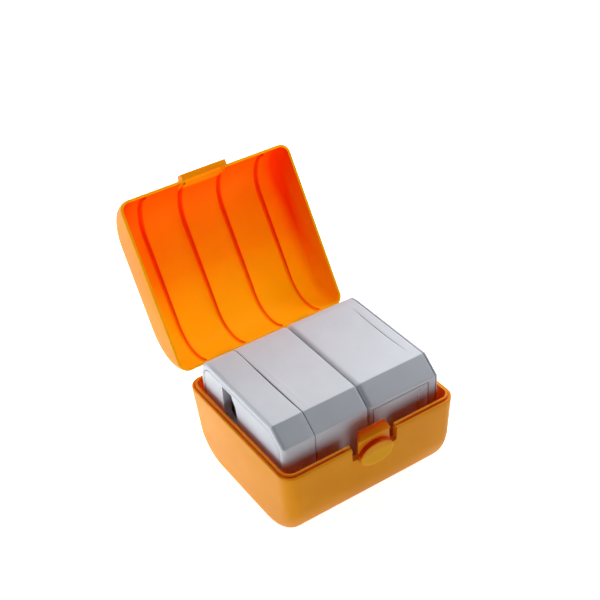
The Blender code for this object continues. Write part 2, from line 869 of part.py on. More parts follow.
def socket_shutter():
    """A plate behind the openings with windows that come into line when it is pushed up."""
    plate = box(
        "socket_shutter",
        (SHUTTER_X, SHUTTER_FRONT, SHUTTER_LOW),
        (SHUTTER_X + SHUTTER_THICK, LIVE_Y + 7 * MM, SHUTTER_HIGH),
    )
    ear = box(
        "shutter_ear",
        (SHUTTER_X, SPRING_Y - 2.2 * MM, SPRING_LOW - 1.5 * MM),
        (SPRING_X + 2.0 * MM, SHUTTER_FRONT + 1 * MM, SPRING_LOW),
    )
    join(plate, ear)
    for k, (y, z) in enumerate(live_centres()):
        low = z - SHUTTER_TRAVEL - WINDOW_HALF[1]
        window = box(
            f"shutter_window_{k}",
            (SHUTTER_X - PAST, y - WINDOW_HALF[0], low),
            (SHUTTER_X + PAST, y + WINDOW_HALF[0], low + 2 * WINDOW_HALF[1]),
        )
        cut(plate, window)
    return keep(plate, dark_plastic())


def shutter_spring():
    """A small coil standing on the shutter's ear, under the ceiling of its room in the carrier."""
    turns, steps = 7, 10
    rise = SPRING_LENGTH - 2 * SPRING_WIRE
    curve = bpy.data.curves.new("shutter_spring", "CURVE")
    curve.dimensions = "3D"
    curve.bevel_depth = SPRING_WIRE
    curve.bevel_resolution = 1
    curve.use_fill_caps = True
    spline = curve.splines.new("POLY")
    count = turns * steps
    spline.points.add(count)
    for k, point in enumerate(spline.points):
        angle = 2 * math.pi * k / steps
        along = (SPRING_RADIUS * math.cos(angle), SPRING_RADIUS * math.sin(angle))
        point.co = (*along, SPRING_WIRE + rise * k / count, 1)
    coil = bpy.data.objects.new("coil_path", curve)
    bpy.context.scene.collection.objects.link(coil)
    coil.matrix_world = Matrix.Translation((SPRING_X, SPRING_Y, SPRING_LOW + 0.1 * MM))
    bpy.context.view_layer.update()
    evaluated = coil.evaluated_get(bpy.context.evaluated_depsgraph_get())
    mesh = bpy.data.meshes.new_from_object(evaluated)
    mesh.transform(coil.matrix_world)
    bpy.data.objects.remove(coil)
    tidy_mesh(mesh)
    mesh.name = "shutter_spring"
    return keep(bpy.data.objects.new("shutter_spring", mesh), steel())


def contact_centres():
    return {
        "socket_line_contact": live_centres()[0],
        "socket_neutral_contact": live_centres()[1],
        "socket_earth_contact": (LIVE_Y - PIN_PITCH, MODULE_MID_Z),
    }


def contact_carrier():
    """The insulating block behind the shutter, with a well for each contact."""
    block = box(
        "contact_carrier",
        (CARRIER_X, CARRIER_FRONT, MODULE_MID_Z - 20.0 * MM),
        (CARRIER_X + CARRIER_DEPTH, CARRIER_BACK, MODULE_MID_Z + 20.0 * MM),
    )
    for name, (y, z) in contact_centres().items():
        well = box(
            name + "_well",
            (CARRIER_X - PAST, y - WELL_HALF, z - WELL_HALF),
            (CARRIER_X + CARRIER_DEPTH - WELL_FLOOR, y + WELL_HALF, z + WELL_HALF),
        )
        cut(block, well)
    spring_room = box(
        "spring_room",
        (CARRIER_X - PAST, SPRING_Y - 2.5 * MM, SPRING_LOW - 1.8 * MM),
        (SPRING_X + 2.3 * MM, SHUTTER_FRONT + 1.3 * MM, SPRING_LOW + SPRING_LENGTH + 0.3 * MM),
    )
    cut(block, spring_room)
    return keep(block, dark_plastic())


def socket_contact(name, y, z):
    """A sprung U of strip metal that grips a pin, standing in its well."""
    half, thick = 3.6 * MM, 0.7 * MM
    start, end = CARRIER_X + 1.0 * MM, CARRIER_X + CARRIER_DEPTH - WELL_FLOOR - GAP
    pinch = 2.3 * MM
    outline = [
        (start, y - half),
        (start + 3 * MM, y - pinch - thick),
        (start + 8 * MM, y - half),
        (end, y - half),
        (end, y + half),
        (start + 8 * MM, y + half),
        (start + 3 * MM, y + pinch + thick),
        (start, y + half),
        (start, y + half - thick),
        (start + 3 * MM, y + pinch),
        (start + 8 * MM, y + half - thick),
        (end - thick, y + half - thick),
        (end - thick, y - half + thick),
        (start + 8 * MM, y - half + thick),
        (start + 3 * MM, y - pinch),
        (start, y - half + thick),
    ]
    clip = prism(name, [outline], "Z", z - 3.2 * MM, z + 3.2 * MM)
    return keep(clip, brass())


def case_screw(name, head_x, tip_x, y, z):
    """A pan-head screw along X with a crossed drive slot in its head."""
    way = math.copysign(1.0, tip_x - head_x)
    head = cylinder(name, (head_x + way * SCREW_HEAD / 2, y, z), "X", SCREW_HEAD_R, SCREW_HEAD, 20)
    start = head_x + way * SCREW_HEAD / 2
    middle = (start + tip_x) / 2
    shank = cylinder(name + "_shank", (middle, y, z), "X", SCREW_R, abs(tip_x - start), 14)
    join(head, shank)
    for k, (a, b) in enumerate(((1.5 * MM, 0.3 * MM), (0.3 * MM, 1.5 * MM))):
        slot = box(
            f"{name}_slot_{k}",
            (head_x - 0.8 * MM, y - a, z - b),
            (head_x + 0.8 * MM, y + a, z + b),
        )
        cut(head, slot)
    return keep(head, steel())


def boss(name, low, high, y, z, radius=3.2 * MM):
    return cylinder(name, ((low + high) / 2, y, z), "X", radius, high - low, 20)


def socket_screw_places():
    return [(-24.0 * MM, MODULE_TOP - 7.0 * MM), (-24.0 * MM, MODULE_BOTTOM + 7.0 * MM)]


def plug_screw_places():
    return [(24.9 * MM, MODULE_TOP - 8.1 * MM), (24.9 * MM, MODULE_BOTTOM + 8.1 * MM)]


# ---------------------------------------------------------------- plug module


def plug_body():
    body = prism(
        "plug_body", [module_outline()], "X", PLUG_LEFT, PLUG_PARTING - PART_GAP / 2
    )
    round_end(body, PLUG_LEFT, PLUG_LEFT_ROUND, 4)
    round_edges(body, EDGE_ROUND, 2, 30)
    hollow = prism(
        "plug_body_hollow",
        [module_outline(PLUG_WALL)],
        "X",
        PLUG_LEFT + PLUG_WALL,
        PLUG_PARTING + PAST,
    )
    seat = box(
        "fuse_cover_seat",
        (COVER_LEFT - GAP, MODULE_FRONT - PAST, COVER_BOTTOM - GAP),
        (COVER_RIGHT + GAP, MODULE_FRONT + COVER_THICK + GAP, COVER_TOP + GAP),
    )
    well = box(
        "fuse_well_opening",
        (COVER_LEFT + COVER_REST, MODULE_FRONT - PAST, FUSE_Z - FUSE_WELL_HALF),
        (COVER_RIGHT - COVER_REST, MODULE_FRONT + PAST, FUSE_Z + FUSE_WELL_HALF),
    )
    cut(body, hollow, seat, well)
    for name, (y, z, half_y, half_z) in PINS.items():
        slot = box(
            name + "_slot",
            (PLUG_LEFT - PAST, y - half_y - 2 * GAP, z - half_z - 2 * GAP),
            (PLUG_LEFT + PAST, y + half_y + 2 * GAP, z + half_z + 2 * GAP),
        )
        cut(body, slot)
    for k, (y, z) in enumerate(plug_screw_places()):
        low, high = PLUG_LEFT + 9 * MM, PLUG_BOSS_END
        wall = MODULE_BACK - PLUG_WALL / 2
        web = box(f"plug_boss_web_{k}", (low, y, z - 1 * MM), (high, wall, z + 1 * MM))
        join(body, boss(f"plug_boss_{k}", low, high, y, z), web)
        cut(body, boss(f"plug_thread_{k}", PLUG_SCREW_TIP - 1 * MM, high + PAST, y, z, THREAD_R))
    return keep(body, grey_plastic())


def plug_end_cap():
    cap = prism(
        "plug_end_cap", [module_outline()], "X", PLUG_PARTING + PART_GAP / 2, PLUG_RIGHT
    )
    round_end(cap, PLUG_RIGHT, PLUG_RIGHT_ROUND, 2)
    round_edges(cap, EDGE_ROUND, 2, 30)
    spigot = prism(
        "plug_cap_spigot",
        [module_outline(PLUG_WALL + GAP), module_outline(PLUG_WALL + GAP + SPIGOT_WALL)],
        "X",
        PLUG_PARTING - SPIGOT_REACH,
        PLUG_PARTING + PLUG_CAP_THICK / 2,
    )
    join(cap, spigot)
    for k, (y, z) in enumerate(plug_screw_places()):
        start, end = PLUG_BOSS_END + GAP, PLUG_PARTING + PLUG_CAP_THICK / 2
        join(cap, boss(f"plug_cap_boss_{k}", start, end, y, z, SEAT_BOSS_R))
        cut(cap, boss(f"plug_cap_hole_{k}", start - PAST, end + PAST, y, z, SCREW_HOLE_R))
        cut(cap, boss(f"plug_cap_seat_{k}", PLUG_SEAT_X, end + PAST, y, z, SCREW_SEAT_R))
    return keep(cap, grey_plastic())


FUSE_Z = RIM_Z - 4.0 * MM
FUSE_Y = MODULE_FRONT + 2.6 * MM + 1.2 * MM + FUSE_R
FUSE_X = (COVER_LEFT + COVER_RIGHT) / 2 + 0.4 * MM
PINS = {
    "plug_line_pin": (LIVE_Y, MODULE_MID_Z + PIN_PITCH / 2, 2.0 * MM, 3.15 * MM),
    "plug_neutral_pin": (LIVE_Y, MODULE_MID_Z - PIN_PITCH / 2, 2.0 * MM, 3.15 * MM),
    "plug_earth_pin": (LIVE_Y - PIN_PITCH, MODULE_MID_Z, 3.95 * MM, 2.0 * MM),
}
PLUG_CAP_THICK = PLUG_RIGHT - PLUG_PARTING
SPIGOT_WALL = 1.4 * MM
SPIGOT_REACH = 3.5 * MM
PLUG_BOSS_END = PLUG_PARTING - 4.0 * MM
PLUG_SEAT_X = PLUG_PARTING - 1.7 * MM
PLUG_SCREW_TIP = PLUG_LEFT + 14.0 * MM


def fuse_cover():
    """The snap-in front cover, with its grip ridges near the right end."""
    cover = box(
        "fuse_cover",
        (COVER_LEFT, MODULE_FRONT, COVER_BOTTOM),
        (COVER_RIGHT, MODULE_FRONT + COVER_THICK, COVER_TOP),
    )
    for k in range(3):
        x = COVER_RIGHT - (2.4 + 1.3 * k) * MM
        ridge = box(
            f"grip_ridge_{k}",
            (x - 0.3 * MM, MODULE_FRONT - RIDGE_PROUD, COVER_BOTTOM + 2 * MM),
            (x + 0.3 * MM, MODULE_FRONT + 0.3 * MM, COVER_TOP - 1.2 * MM),
        )
        join(cover, ridge)
    return keep(cover, grey_plastic())


def fuse():
    tube_r = FUSE_R - 0.5 * MM
    tube_length = FUSE_LENGTH - 2 * MM
    tube = cylinder("fuse_body", (FUSE_X, FUSE_Y, FUSE_Z), "X", tube_r, tube_length)
    keep(tube, ceramic())
    for way, tag in ((-1, "left"), (1, "right")):
        end = FUSE_X + way * FUSE_LENGTH / 2
        place = (end - way * FUSE_CUP / 2, FUSE_Y, FUSE_Z)
        cup = cylinder(f"fuse_end_cap_{tag}", place, "X", FUSE_R, FUSE_CUP)
        inside = (end - way * (FUSE_CUP_END + FUSE_CUP), FUSE_Y, FUSE_Z)
        room = cylinder(f"fuse_end_room_{tag}", inside, "X", tube_r + 0.15 * MM, 2 * FUSE_CUP)
        cut(cup, room)
        keep(cup, steel())


def fuse_clip(tag, x):
    """A sprung U that holds one end cap of the fuse from behind."""
    steps = 10
    inner, outer = FUSE_R + 0.2 * MM, FUSE_R + 0.8 * MM
    arc = [math.radians(-130) + math.radians(260) * k / (2 * steps) for k in range(2 * steps + 1)]
    ring = [(FUSE_Y + outer * math.cos(a), FUSE_Z + outer * math.sin(a)) for a in arc]
    ring += [(FUSE_Y + inner * math.cos(a), FUSE_Z + inner * math.sin(a)) for a in reversed(arc)]
    clip = prism(f"fuse_clip_{tag}", [ring], "X", x - 2.2 * MM, x + 2.2 * MM)
    return keep(clip, brass())


PIN_START = PLUG_LEFT + 1.2 * MM
PIN_LENGTH = 18.0 * MM
PIN_CARRIER_X = PIN_START + PIN_LENGTH
PIN_ROOT = 5.0 * MM
PIN_FIT = 0.1 * MM


def plug_pin(name, y, z, half_y, half_z):
    """A flat pin with a tapered tip, held by its root in the pin carrier."""
    root = PIN_CARRIER_X + PIN_ROOT
    outline = [
        (PIN_START, z - half_z + 0.9 * MM),
        (PIN_START + 1.8 * MM, z - half_z),
        (root, z - half_z),
        (root, z + half_z),
        (PIN_START + 1.8 * MM, z + half_z),
        (PIN_START, z + half_z - 0.9 * MM),
    ]
    pin = prism(name, [outline], "Y", y - half_y, y + half_y)
    round_edges(pin, EDGE_ROUND, 1, 70)
    return keep(pin, brass())


def pin_carrier():
    """The insulating block that holds the roots of the three pins."""
    block = box(
        "pin_carrier",
        (PIN_CARRIER_X, LIVE_Y - PIN_PITCH - 5.8 * MM, MODULE_MID_Z - 17.0 * MM),
        (PIN_CARRIER_X + 8.0 * MM, LIVE_Y + 5.0 * MM, MODULE_MID_Z + 17.0 * MM),
    )
    for name, (y, z, half_y, half_z) in PINS.items():
        room = box(
            name + "_room",
            (PIN_CARRIER_X - PAST, y - half_y - PIN_FIT, z - half_z - PIN_FIT),
            (PIN_CARRIER_X + PIN_ROOT + GAP, y + half_y + PIN_FIT, z + half_z + PIN_FIT),
        )
        cut(block, room)
    return keep(block, dark_plastic())


def fuse_holder():
    """The bar across the inside that the two fuse clips stand on."""
    clip_back = FUSE_Y + FUSE_R + 0.8 * MM
    bar = box(
        "fuse_holder",
        (COVER_LEFT + 1 * MM, clip_back + GAP, FUSE_Z - 5 * MM),
        (COVER_RIGHT - 1 * MM, clip_back + GAP + 1.2 * MM, FUSE_Z + 5 * MM),
    )
    return keep(bar, dark_plastic())


# ---------------------------------------------------------------- assembly


def axis_empty(name, place):
    empty = bpy.data.objects.new(name, None)
    empty.location = place
    PARTS.objects.link(empty)
    bpy.context.view_layer.update()
    return empty


def tools_of(thing):
    """Every object that the thing's Booleans use, however deep."""
    found = []
    for step in thing.modifiers:
        if step.type == "BOOLEAN":
            found += [step.object] + tools_of(step.object)
    return found


def hang(thing, empty):
    """Parents a piece and all its cutters to the empty on its axis."""
    for member in [thing] + tools_of(thing):
        member.parent = empty
        member.matrix_parent_inverse = Matrix.Translation(empty.location).inverted()


def build_case():
    case_base()
    hinge_pin()
    hinge = axis_empty("lid_hinge_axis", (0, HINGE_Y, HINGE_Z))
    hang(case_lid(), hinge)
    hinge.rotation_euler.x = -LID_OPEN_ANGLE
    flex = axis_empty("latch_flex_axis", (0, LATCH_AXIS_Y, LATCH_AXIS_Z))
    hang(latch_tongue(), flex)


def build_socket_module():
    socket_body()
    socket_end_cap()
    socket_face_plate()
    socket_shutter()
    shutter_spring()
    contact_carrier()
    for name, (y, z) in contact_centres().items():
        socket_contact(name, y, z)
    for k, (y, z) in enumerate(socket_screw_places()):
        head = SOCKET_SEAT_X + SCREW_HEAD + GAP
        case_screw(f"socket_screw_{k + 1}", head, SOCKET_SCREW_TIP, y, z)


def build_plug_module():
    plug_body()
    plug_end_cap()
    fuse_cover()
    fuse()
    for way, tag in ((-1, "left"), (1, "right")):
        fuse_clip(tag, FUSE_X + way * (FUSE_LENGTH - FUSE_CUP) / 2)
    pin_carrier()
    fuse_holder()
    for name, place in PINS.items():
        plug_pin(name, *place)
    for k, (y, z) in enumerate(plug_screw_places()):
        head = PLUG_SEAT_X + SCREW_HEAD + GAP
        case_screw(f"plug_screw_{k + 1}", head, PLUG_SCREW_TIP, y, z)


build_case()
build_socket_module()
build_plug_module()
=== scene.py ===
"""Looks for the cased plug adapter set: an orange snap-latch case, open, with two grey modules in it.

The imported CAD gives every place. This script builds the fine surfaces of the case, the latch and the
modules round it, and gives each piece its moulded plastic, metal or ceramic. Lengths are in millimetres
until they go into a mesh, and heights of the case are from the plane of its rim.
"""

import json
import math

import bmesh
import bpy
from mathutils import Matrix, Vector


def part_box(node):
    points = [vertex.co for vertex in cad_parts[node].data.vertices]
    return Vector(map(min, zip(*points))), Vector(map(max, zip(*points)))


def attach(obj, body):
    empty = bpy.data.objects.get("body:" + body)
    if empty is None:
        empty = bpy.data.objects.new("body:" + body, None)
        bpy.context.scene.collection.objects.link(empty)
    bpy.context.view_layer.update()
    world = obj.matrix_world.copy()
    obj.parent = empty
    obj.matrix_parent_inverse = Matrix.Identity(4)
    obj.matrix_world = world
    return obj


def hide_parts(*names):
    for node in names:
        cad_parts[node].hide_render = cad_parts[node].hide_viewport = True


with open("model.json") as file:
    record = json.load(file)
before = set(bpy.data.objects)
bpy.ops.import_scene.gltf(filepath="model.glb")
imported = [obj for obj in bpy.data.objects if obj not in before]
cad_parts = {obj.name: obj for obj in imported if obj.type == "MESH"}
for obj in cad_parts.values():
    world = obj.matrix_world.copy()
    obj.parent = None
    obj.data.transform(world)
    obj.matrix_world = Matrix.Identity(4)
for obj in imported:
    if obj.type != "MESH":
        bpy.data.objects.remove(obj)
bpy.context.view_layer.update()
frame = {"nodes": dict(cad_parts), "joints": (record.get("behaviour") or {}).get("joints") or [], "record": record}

MM = 0.001
NODES = frame["nodes"]
JOINTS = {joint["name"]: joint for joint in frame["joints"]}

# ---------------------------------------------------------------- places, from the frame


def millimetres(vector):
    return Vector(vector) / MM


def node_box(name):
    low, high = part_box(name)
    return millimetres(low), millimetres(high)


HINGE_ABOVE_RIM = 0.36
HINGE_BEHIND_BACK = 2.05
HINGE = millimetres(JOINTS["lid_hinge"]["pos_m"])
OPEN_ANGLE = math.radians(-JOINTS["lid_hinge"]["range_deg"][0])
RIM_Z = HINGE.z - HINGE_ABOVE_RIM
BACK = HINGE.y - HINGE_BEHIND_BACK
FRONT = -BACK
HALF_W = node_box("case_lid")[1].x
HINGE_Z = HINGE.z - RIM_Z

TUB_WALL = 2.6
LEDGE = 1.5
LIP_HEIGHT = 1.0
TUB_SIDE_RADIUS = 6.4
LID_WALL = 1.2
LID_DEPTH = 20.1
LID_SIDE_RADIUS = 4.7
LID_GAP = 0.3

# an outline of the tub or the lid from the side: front and back radius, and how far each wall leans
TUB_SECTION = {"radii": (21.3, 17.2), "lean": (1.8, 1.9), "depth": RIM_Z}
LID_SECTION = {"radii": (19.6, 19.8), "lean": (1.3, 1.8), "depth": LID_DEPTH}
TUB_SIDE_LEAN = 2.3
TUB_CAVITY_SIDE_LEAN = 1.3
LID_SIDE_LEAN = 0.14

RIB_X = (-29.8, -9.9, 9.9, 29.8)
NOTCH_HALF = 11.0
NOTCH_DEPTH = 6.4
TONGUE_HALF = 7.7
HOOD_HALF = 11.1
HOOD_PROUD = 2.4
HOOD_WALL = 1.2

# how far the shells of a module stop short of their parting line, in the CAD and here
CAD_SEAM = 0.15
SEAM = 0.05
MODULE_LOW, MODULE_HIGH = node_box("socket_end_cap")
PLUG_LOW, PLUG_HIGH = node_box("plug_body")
SOCKET_LEFT = MODULE_LOW.x
SOCKET_PARTING = MODULE_HIGH.x + CAD_SEAM
SOCKET_RIGHT = node_box("socket_body")[1].x
PLUG_LEFT = PLUG_LOW.x
PLUG_PARTING = PLUG_HIGH.x + CAD_SEAM
PLUG_RIGHT = node_box("plug_end_cap")[1].x
MODULE_WALL = 2.0
PLUG_WALL = 2.6
MODULE_TOP = MODULE_HIGH.z
MODULE_BOTTOM = MODULE_LOW.z
MODULE_FRONT = MODULE_LOW.y
MODULE_BACK = MODULE_HIGH.y
BEVEL_RUN = 8.1
BEVEL_DROP = 6.8
MODULE_BACK_RADIUS = 8.5
MODULE_MID = (MODULE_TOP + MODULE_BOTTOM) / 2


# ---------------------------------------------------------------- materials


class Look:
    """One material's nodes. Values given to add() are numbers, colours or the outputs of other nodes."""

    def __init__(self, name):
        self.material = bpy.data.materials.new(name)
        self.material.use_nodes = True
        self.nodes = self.material.node_tree.nodes
        self.links = self.material.node_tree.links
        self.surface = self.nodes["Principled BSDF"]
        self.output = self.nodes["Material Output"]
        self.place = self.add("ShaderNodeNewGeometry").outputs["Position"]

    def put(self, node, name, value):
        target = node.inputs[name]
        if isinstance(value, bpy.types.NodeSocket):
            self.links.new(value, target)
        elif isinstance(value, tuple) and len(value) == 3 and target.type == "RGBA":
            target.default_value = (*value, 1.0)
        else:
            target.default_value = value

    def add(self, kind, inputs=None, **settings):
        node = self.nodes.new(kind)
        for name, value in settings.items():
            setattr(node, name, value)
        for name, value in (inputs or {}).items():
            self.put(node, name, value)
        return node

    def set(self, **values):
        for name, value in values.items():
            self.put(self.surface, name.replace("_", " "), value)

    def math(self, operation, first, second):
        return self.add("ShaderNodeMath", {0: first, 1: second}, operation=operation).outputs[0]

    def noise(self, size, detail=3.0, roughness=0.55, stretch=(1.0, 1.0, 1.0)):
        """Noise whose features are about size millimetres across."""
        scale = tuple(s / (size * MM) for s in stretch)
        mapped = self.add("ShaderNodeMapping", {"Vector": self.place, "Scale": scale})
        inputs = {"Vector": mapped.outputs[0], "Scale": 1.0, "Detail": detail, "Roughness": roughness}
        return self.add("ShaderNodeTexNoise", inputs).outputs["Fac"]

    def spread(self, value, low, high, start=0.3, end=0.7):
        """Maps value from start..end to low..high."""
        inputs = {"Value": value, "From Min": start, "From Max": end, "To Min": low, "To Max": high}
        return self.add("ShaderNodeMapRange", inputs).outputs[0]

    def mix(self, share, first, second, blend="MIX"):
        node = self.add("ShaderNodeMix", data_type="RGBA", blend_type=blend)
        self.put(node, 0, share)
        self.put(node, 6, first)
        self.put(node, 7, second)
        return node.outputs[2]

    def bump(self, height, strength, distance, normal=None):
        inputs = {"Height": height, "Strength": strength, "Distance": distance * MM}
        if normal is not None:
            inputs["Normal"] = normal
        return self.add("ShaderNodeBump", inputs).outputs[0]

    def grooves(self, distance):
        """1 in the open, falling towards 0 deep in a crevice of about this many millimetres."""
        node = self.add("ShaderNodeAmbientOcclusion", {"Distance": distance * MM}, samples=6)
        return node.outputs["AO"]


def moulded(look, grain, ripple, strength):
    """The fine spark-eroded grain of a mould, over the slow waves that cooling leaves."""
    waves = look.bump(look.noise(ripple, 2.0), strength * 0.5, 0.12)
    return look.bump(look.noise(grain, 4.0, 0.6), strength, 0.02, waves)


def orange_look(name, depth=0.0, clear=0.3, painted_glow=(0.02, 0.01, 0.0)):
    """Fluorescent orange plastic. A painted highlight from the glow attribute turns it yellow at thin edges, and
    painted shade from a vertex attribute, at least depth, turns it deep red.

    clear is the share of light that passes through the wall, and the last argument is the colour of a constant
    emission, a painted glow of the dye.
    """
    look = Look(name)
    flow = look.noise(22.0, 3.0, 0.5, (1.0, 0.6, 1.0))
    base = look.mix(look.spread(flow, 0.0, 1.0), (0.94, 0.40, 0.006), (0.98, 0.46, 0.010))
    specks = look.spread(look.noise(0.7, 5.0, 0.7), 0.0, 0.10, 0.62, 0.8)
    base = look.mix(specks, base, (0.70, 0.15, 0.003))
    # painted shade: a vertex attribute darkens the colour to deep red where shade and inner reflections fall
    painted_shade = look.add("ShaderNodeAttribute", attribute_name="painted_shade").outputs["Fac"]
    painted_shade = look.math("MAXIMUM", painted_shade, depth)
    base = look.mix(painted_shade, base, (0.88, 0.045, 0.0))
    # painted highlight: the glow attribute lightens the colour to yellow on lit edges and where light shines
    # through
    glow = look.add("ShaderNodeAttribute", attribute_name="glow").outputs["Fac"]
    base = look.mix(glow, base, (1.0, 0.60, 0.015))
    rough = look.spread(look.noise(1.6, 4.0), 0.34, 0.46)
    normal = moulded(look, 0.22, 7.0, 0.16)
    look.set(Base_Color=base, Roughness=rough, Normal=normal, IOR=1.49)
    look.set(Specular_IOR_Level=0.45, Specular_Tint=(1.0, 0.5, 0.05))
    # painted glow: a constant emission, whether the plastic is lit or not
    look.set(Emission_Color=look.mix(1.0, base, painted_glow, "MULTIPLY"), Emission_Strength=1.0)
    filtered = look.mix(1.0, base, (1.0, 0.8, 0.4), "MULTIPLY")
    through = look.add("ShaderNodeBsdfTranslucent", {"Color": filtered, "Normal": normal})
    both = look.add("ShaderNodeMixShader", {0: clear, 1: look.surface.outputs[0], 2: through.outputs[0]})
    look.links.new(both.outputs[0], look.output.inputs["Surface"])
    return look.material


def grey_look(name, colour, shade, rough):
    """Light matt plastic; shade is the colour of its specks and of painted shade in its crevices."""
    look = Look(name)
    tone = look.spread(look.noise(16.0, 3.0), 0.97, 1.03)
    tint = look.add("ShaderNodeCombineColor", {0: tone, 1: tone, 2: tone}).outputs[0]
    base = look.mix(1.0, colour, tint, "MULTIPLY")
    specks = look.spread(look.noise(0.5, 5.0, 0.75), 0.0, 0.16, 0.64, 0.8)
    base = look.mix(specks, base, shade)
    # painted shade: ambient occlusion darkens the colour in crevices
    open_air = look.spread(look.grooves(1.2), 0.0, 1.0, 0.15, 0.8)
    base = look.mix(open_air, shade, base)
    scuffs = look.noise(3.0, 6.0, 0.65, (1.0, 0.25, 1.0))
    normal = moulded(look, 0.16, 9.0, 0.13)
    look.set(Base_Color=base, Roughness=look.spread(scuffs, rough - 0.05, rough + 0.07), Normal=normal)
    look.set(IOR=1.5, Subsurface_Weight=0.06, Subsurface_Radius=(1.0, 0.9, 0.8), Subsurface_Scale=0.4 * MM)
    return look.material


def dark_look():
    look = Look("dark_moulding")
    tone = look.mix(look.noise(3.0, 5.0), (0.022, 0.021, 0.022), (0.055, 0.052, 0.052))
    look.set(Base_Color=tone, Roughness=look.spread(look.noise(1.0, 4.0), 0.42, 0.6))
    look.set(Normal=moulded(look, 0.18, 5.0, 0.2))
    return look.material


def metal_look(name, bright, dull, rough):
    """Stamped or turned metal: drawn lines, a slight random tarnish, and a duller colour in crevices."""
    look = Look(name)
    tarnish = look.noise(2.5, 6.0, 0.65)
    base = look.mix(look.spread(tarnish, 0.0, 1.0), bright, dull)
    # duller and darker in crevices
    base = look.mix(look.spread(look.grooves(0.8), 0.0, 1.0, 0.1, 0.7), dull, base)
    lines = look.noise(0.25, 3.0, 0.6, (1.0, 0.08, 1.0))
    look.set(Base_Color=base, Metallic=1.0, Roughness=look.spread(tarnish, rough, rough + 0.14))
    look.set(Normal=look.bump(lines, 0.12, 0.01), Anisotropic=0.3)
    return look.material


def ceramic_look():
    look = Look("fired_ceramic")
    base = look.mix(look.spread(look.noise(1.2, 5.0), 0.0, 1.0), (0.80, 0.77, 0.69), (0.70, 0.66, 0.58))
    look.set(Base_Color=base, Roughness=look.spread(look.noise(0.6, 4.0), 0.28, 0.5), Coat_Weight=0.2)
    look.set(Normal=moulded(look, 0.12, 2.0, 0.25))
    return look.material


LOOKS = {
    "orange_plastic": orange_look("orange_moulding"),
    "grey_plastic": grey_look("grey_moulding", (0.655, 0.695, 0.76), (0.16, 0.15, 0.15), 0.46),
    "white_plastic": grey_look("pale_moulding", (0.65, 0.70, 0.765), (0.18, 0.17, 0.16), 0.46),
    "dark_plastic": dark_look(),
    "brass": metal_look("brass", (0.86, 0.66, 0.33), (0.52, 0.36, 0.15), 0.22),
    "steel": metal_look("steel", (0.72, 0.72, 0.74), (0.46, 0.45, 0.45), 0.24),
    "ceramic": ceramic_look(),
}
# painted shade: a copy of the orange that is deep red all over, for the faces that the latch notch cuts
PAINTED_SHADE_ORANGE = orange_look("orange_moulding_painted_shade", 1.0)
# a copy for the thin lid, which lets more light through and has a stronger painted glow
THIN_ORANGE_PAINTED_GLOW = orange_look("orange_moulding_thin_painted_glow", 0.0, 0.5, (0.05, 0.32, 0.0))
NODE_SLOTS = {row["node"]: row["material_slot"] for row in frame["record"]["subparts"]}

for node, thing in NODES.items():
    thing.data.materials.clear()
    thing.data.materials.append(LOOKS[NODE_SLOTS[node]])


def place(pieces, body, slot, *stands_for):
    """Puts pieces on a body in the finish of a slot; the first stands for the CAD nodes named."""
    for piece in pieces:
        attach(piece, body)
        if not piece.data.materials:
            piece.data.materials.append(LOOKS[slot])
    if stands_for:
        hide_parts(*stands_for)


# ---------------------------------------------------------------- meshes


SHARP = math.radians(40)


def smooth(mesh):
    mesh.shade_smooth()
    mesh.set_sharp_from_angle(angle=SHARP)


def finish_mesh(name, form):
    """Makes a closed form, in millimetres, into an object whose faces point outwards."""
    bmesh.ops.recalc_face_normals(form, faces=form.faces)
    if form.calc_volume(signed=True) < 0:
        bmesh.ops.reverse_faces(form, faces=form.faces)
    mesh = bpy.data.meshes.new(name)
    form.to_mesh(mesh)
    form.free()
    mesh.transform(Matrix.Diagonal((MM, MM, MM, 1.0)))
    piece = bpy.data.objects.new(name, mesh)
    bpy.context.scene.collection.objects.link(piece)
    smooth(mesh)
    return piece


def quads(form, first, second, cyclic):
    """Faces between two rows of as many points; cyclic also joins their ends."""
    count = len(first)
    for k in range(count if cyclic else count - 1):
        after = (k + 1) % count
        form.faces.new((first[k], first[after], second[after], second[k]))


def loft(name, loops, closed=False):
    """A skin through closed loops of points; closed joins the last loop to the first."""
    form = bmesh.new()
    rows = [[form.verts.new(point) for point in loop] for loop in loops]
    for first, second in zip(rows, rows[1:]):
        quads(form, first, second, True)
    if closed:
        quads(form, rows[-1], rows[0], True)
    else:
        form.faces.new(rows[0])
        form.faces.new(rows[-1])
    return finish_mesh(name, form)


def boolean(piece, tools, operation):
    """Cuts the tools from a piece, or joins them to it, and uses them up."""
    for tool in tools:
        step = piece.modifiers.new(tool.name, "BOOLEAN")
        step.operation = operation
        step.solver = "EXACT"
        step.object = tool
    bpy.context.view_layer.update()
    old = piece.data
    graph = bpy.context.evaluated_depsgraph_get()
    mesh = bpy.data.meshes.new_from_object(piece.evaluated_get(graph))
    piece.modifiers.clear()
    piece.data = mesh
    bpy.data.meshes.remove(old)
    for tool in tools:
        bpy.data.objects.remove(tool)
    smooth(mesh)


def cut(piece, *tools):
    boolean(piece, tools, "DIFFERENCE")


def join(piece, *tools):
    boolean(piece, tools, "UNION")


def circle_x(x, y, z, radius, sides):
    """A circle round a line along x, as a loop of points."""
    turns = [2 * math.pi * k / sides for k in range(sides)]
    return [Vector((x, y + radius * math.cos(turn), z + radius * math.sin(turn))) for turn in turns]


def inset_corners(corners, inset):
    """Moves every side of a polygon of (u, v, radius) inwards and gives its new corners."""
    count = len(corners)
    points = [Vector(c[:2]) for c in corners]
    area = sum(points[i - 1].cross(points[i]) for i in range(count))
    turn = 1.0 if area > 0 else -1.0
    made = []
    for i in range(count):
        before = (points[i] - points[i - 1]).normalized()
        after = (points[(i + 1) % count] - points[i]).normalized()
        in_before = Vector((-before.y, before.x)) * turn
        in_after = Vector((-after.y, after.x)) * turn
        middle = (in_before + in_after).normalized()
        moved = points[i] + middle * (inset / middle.dot(in_before))
        made.append((moved.x, moved.y, corners[i][2]))
    return made


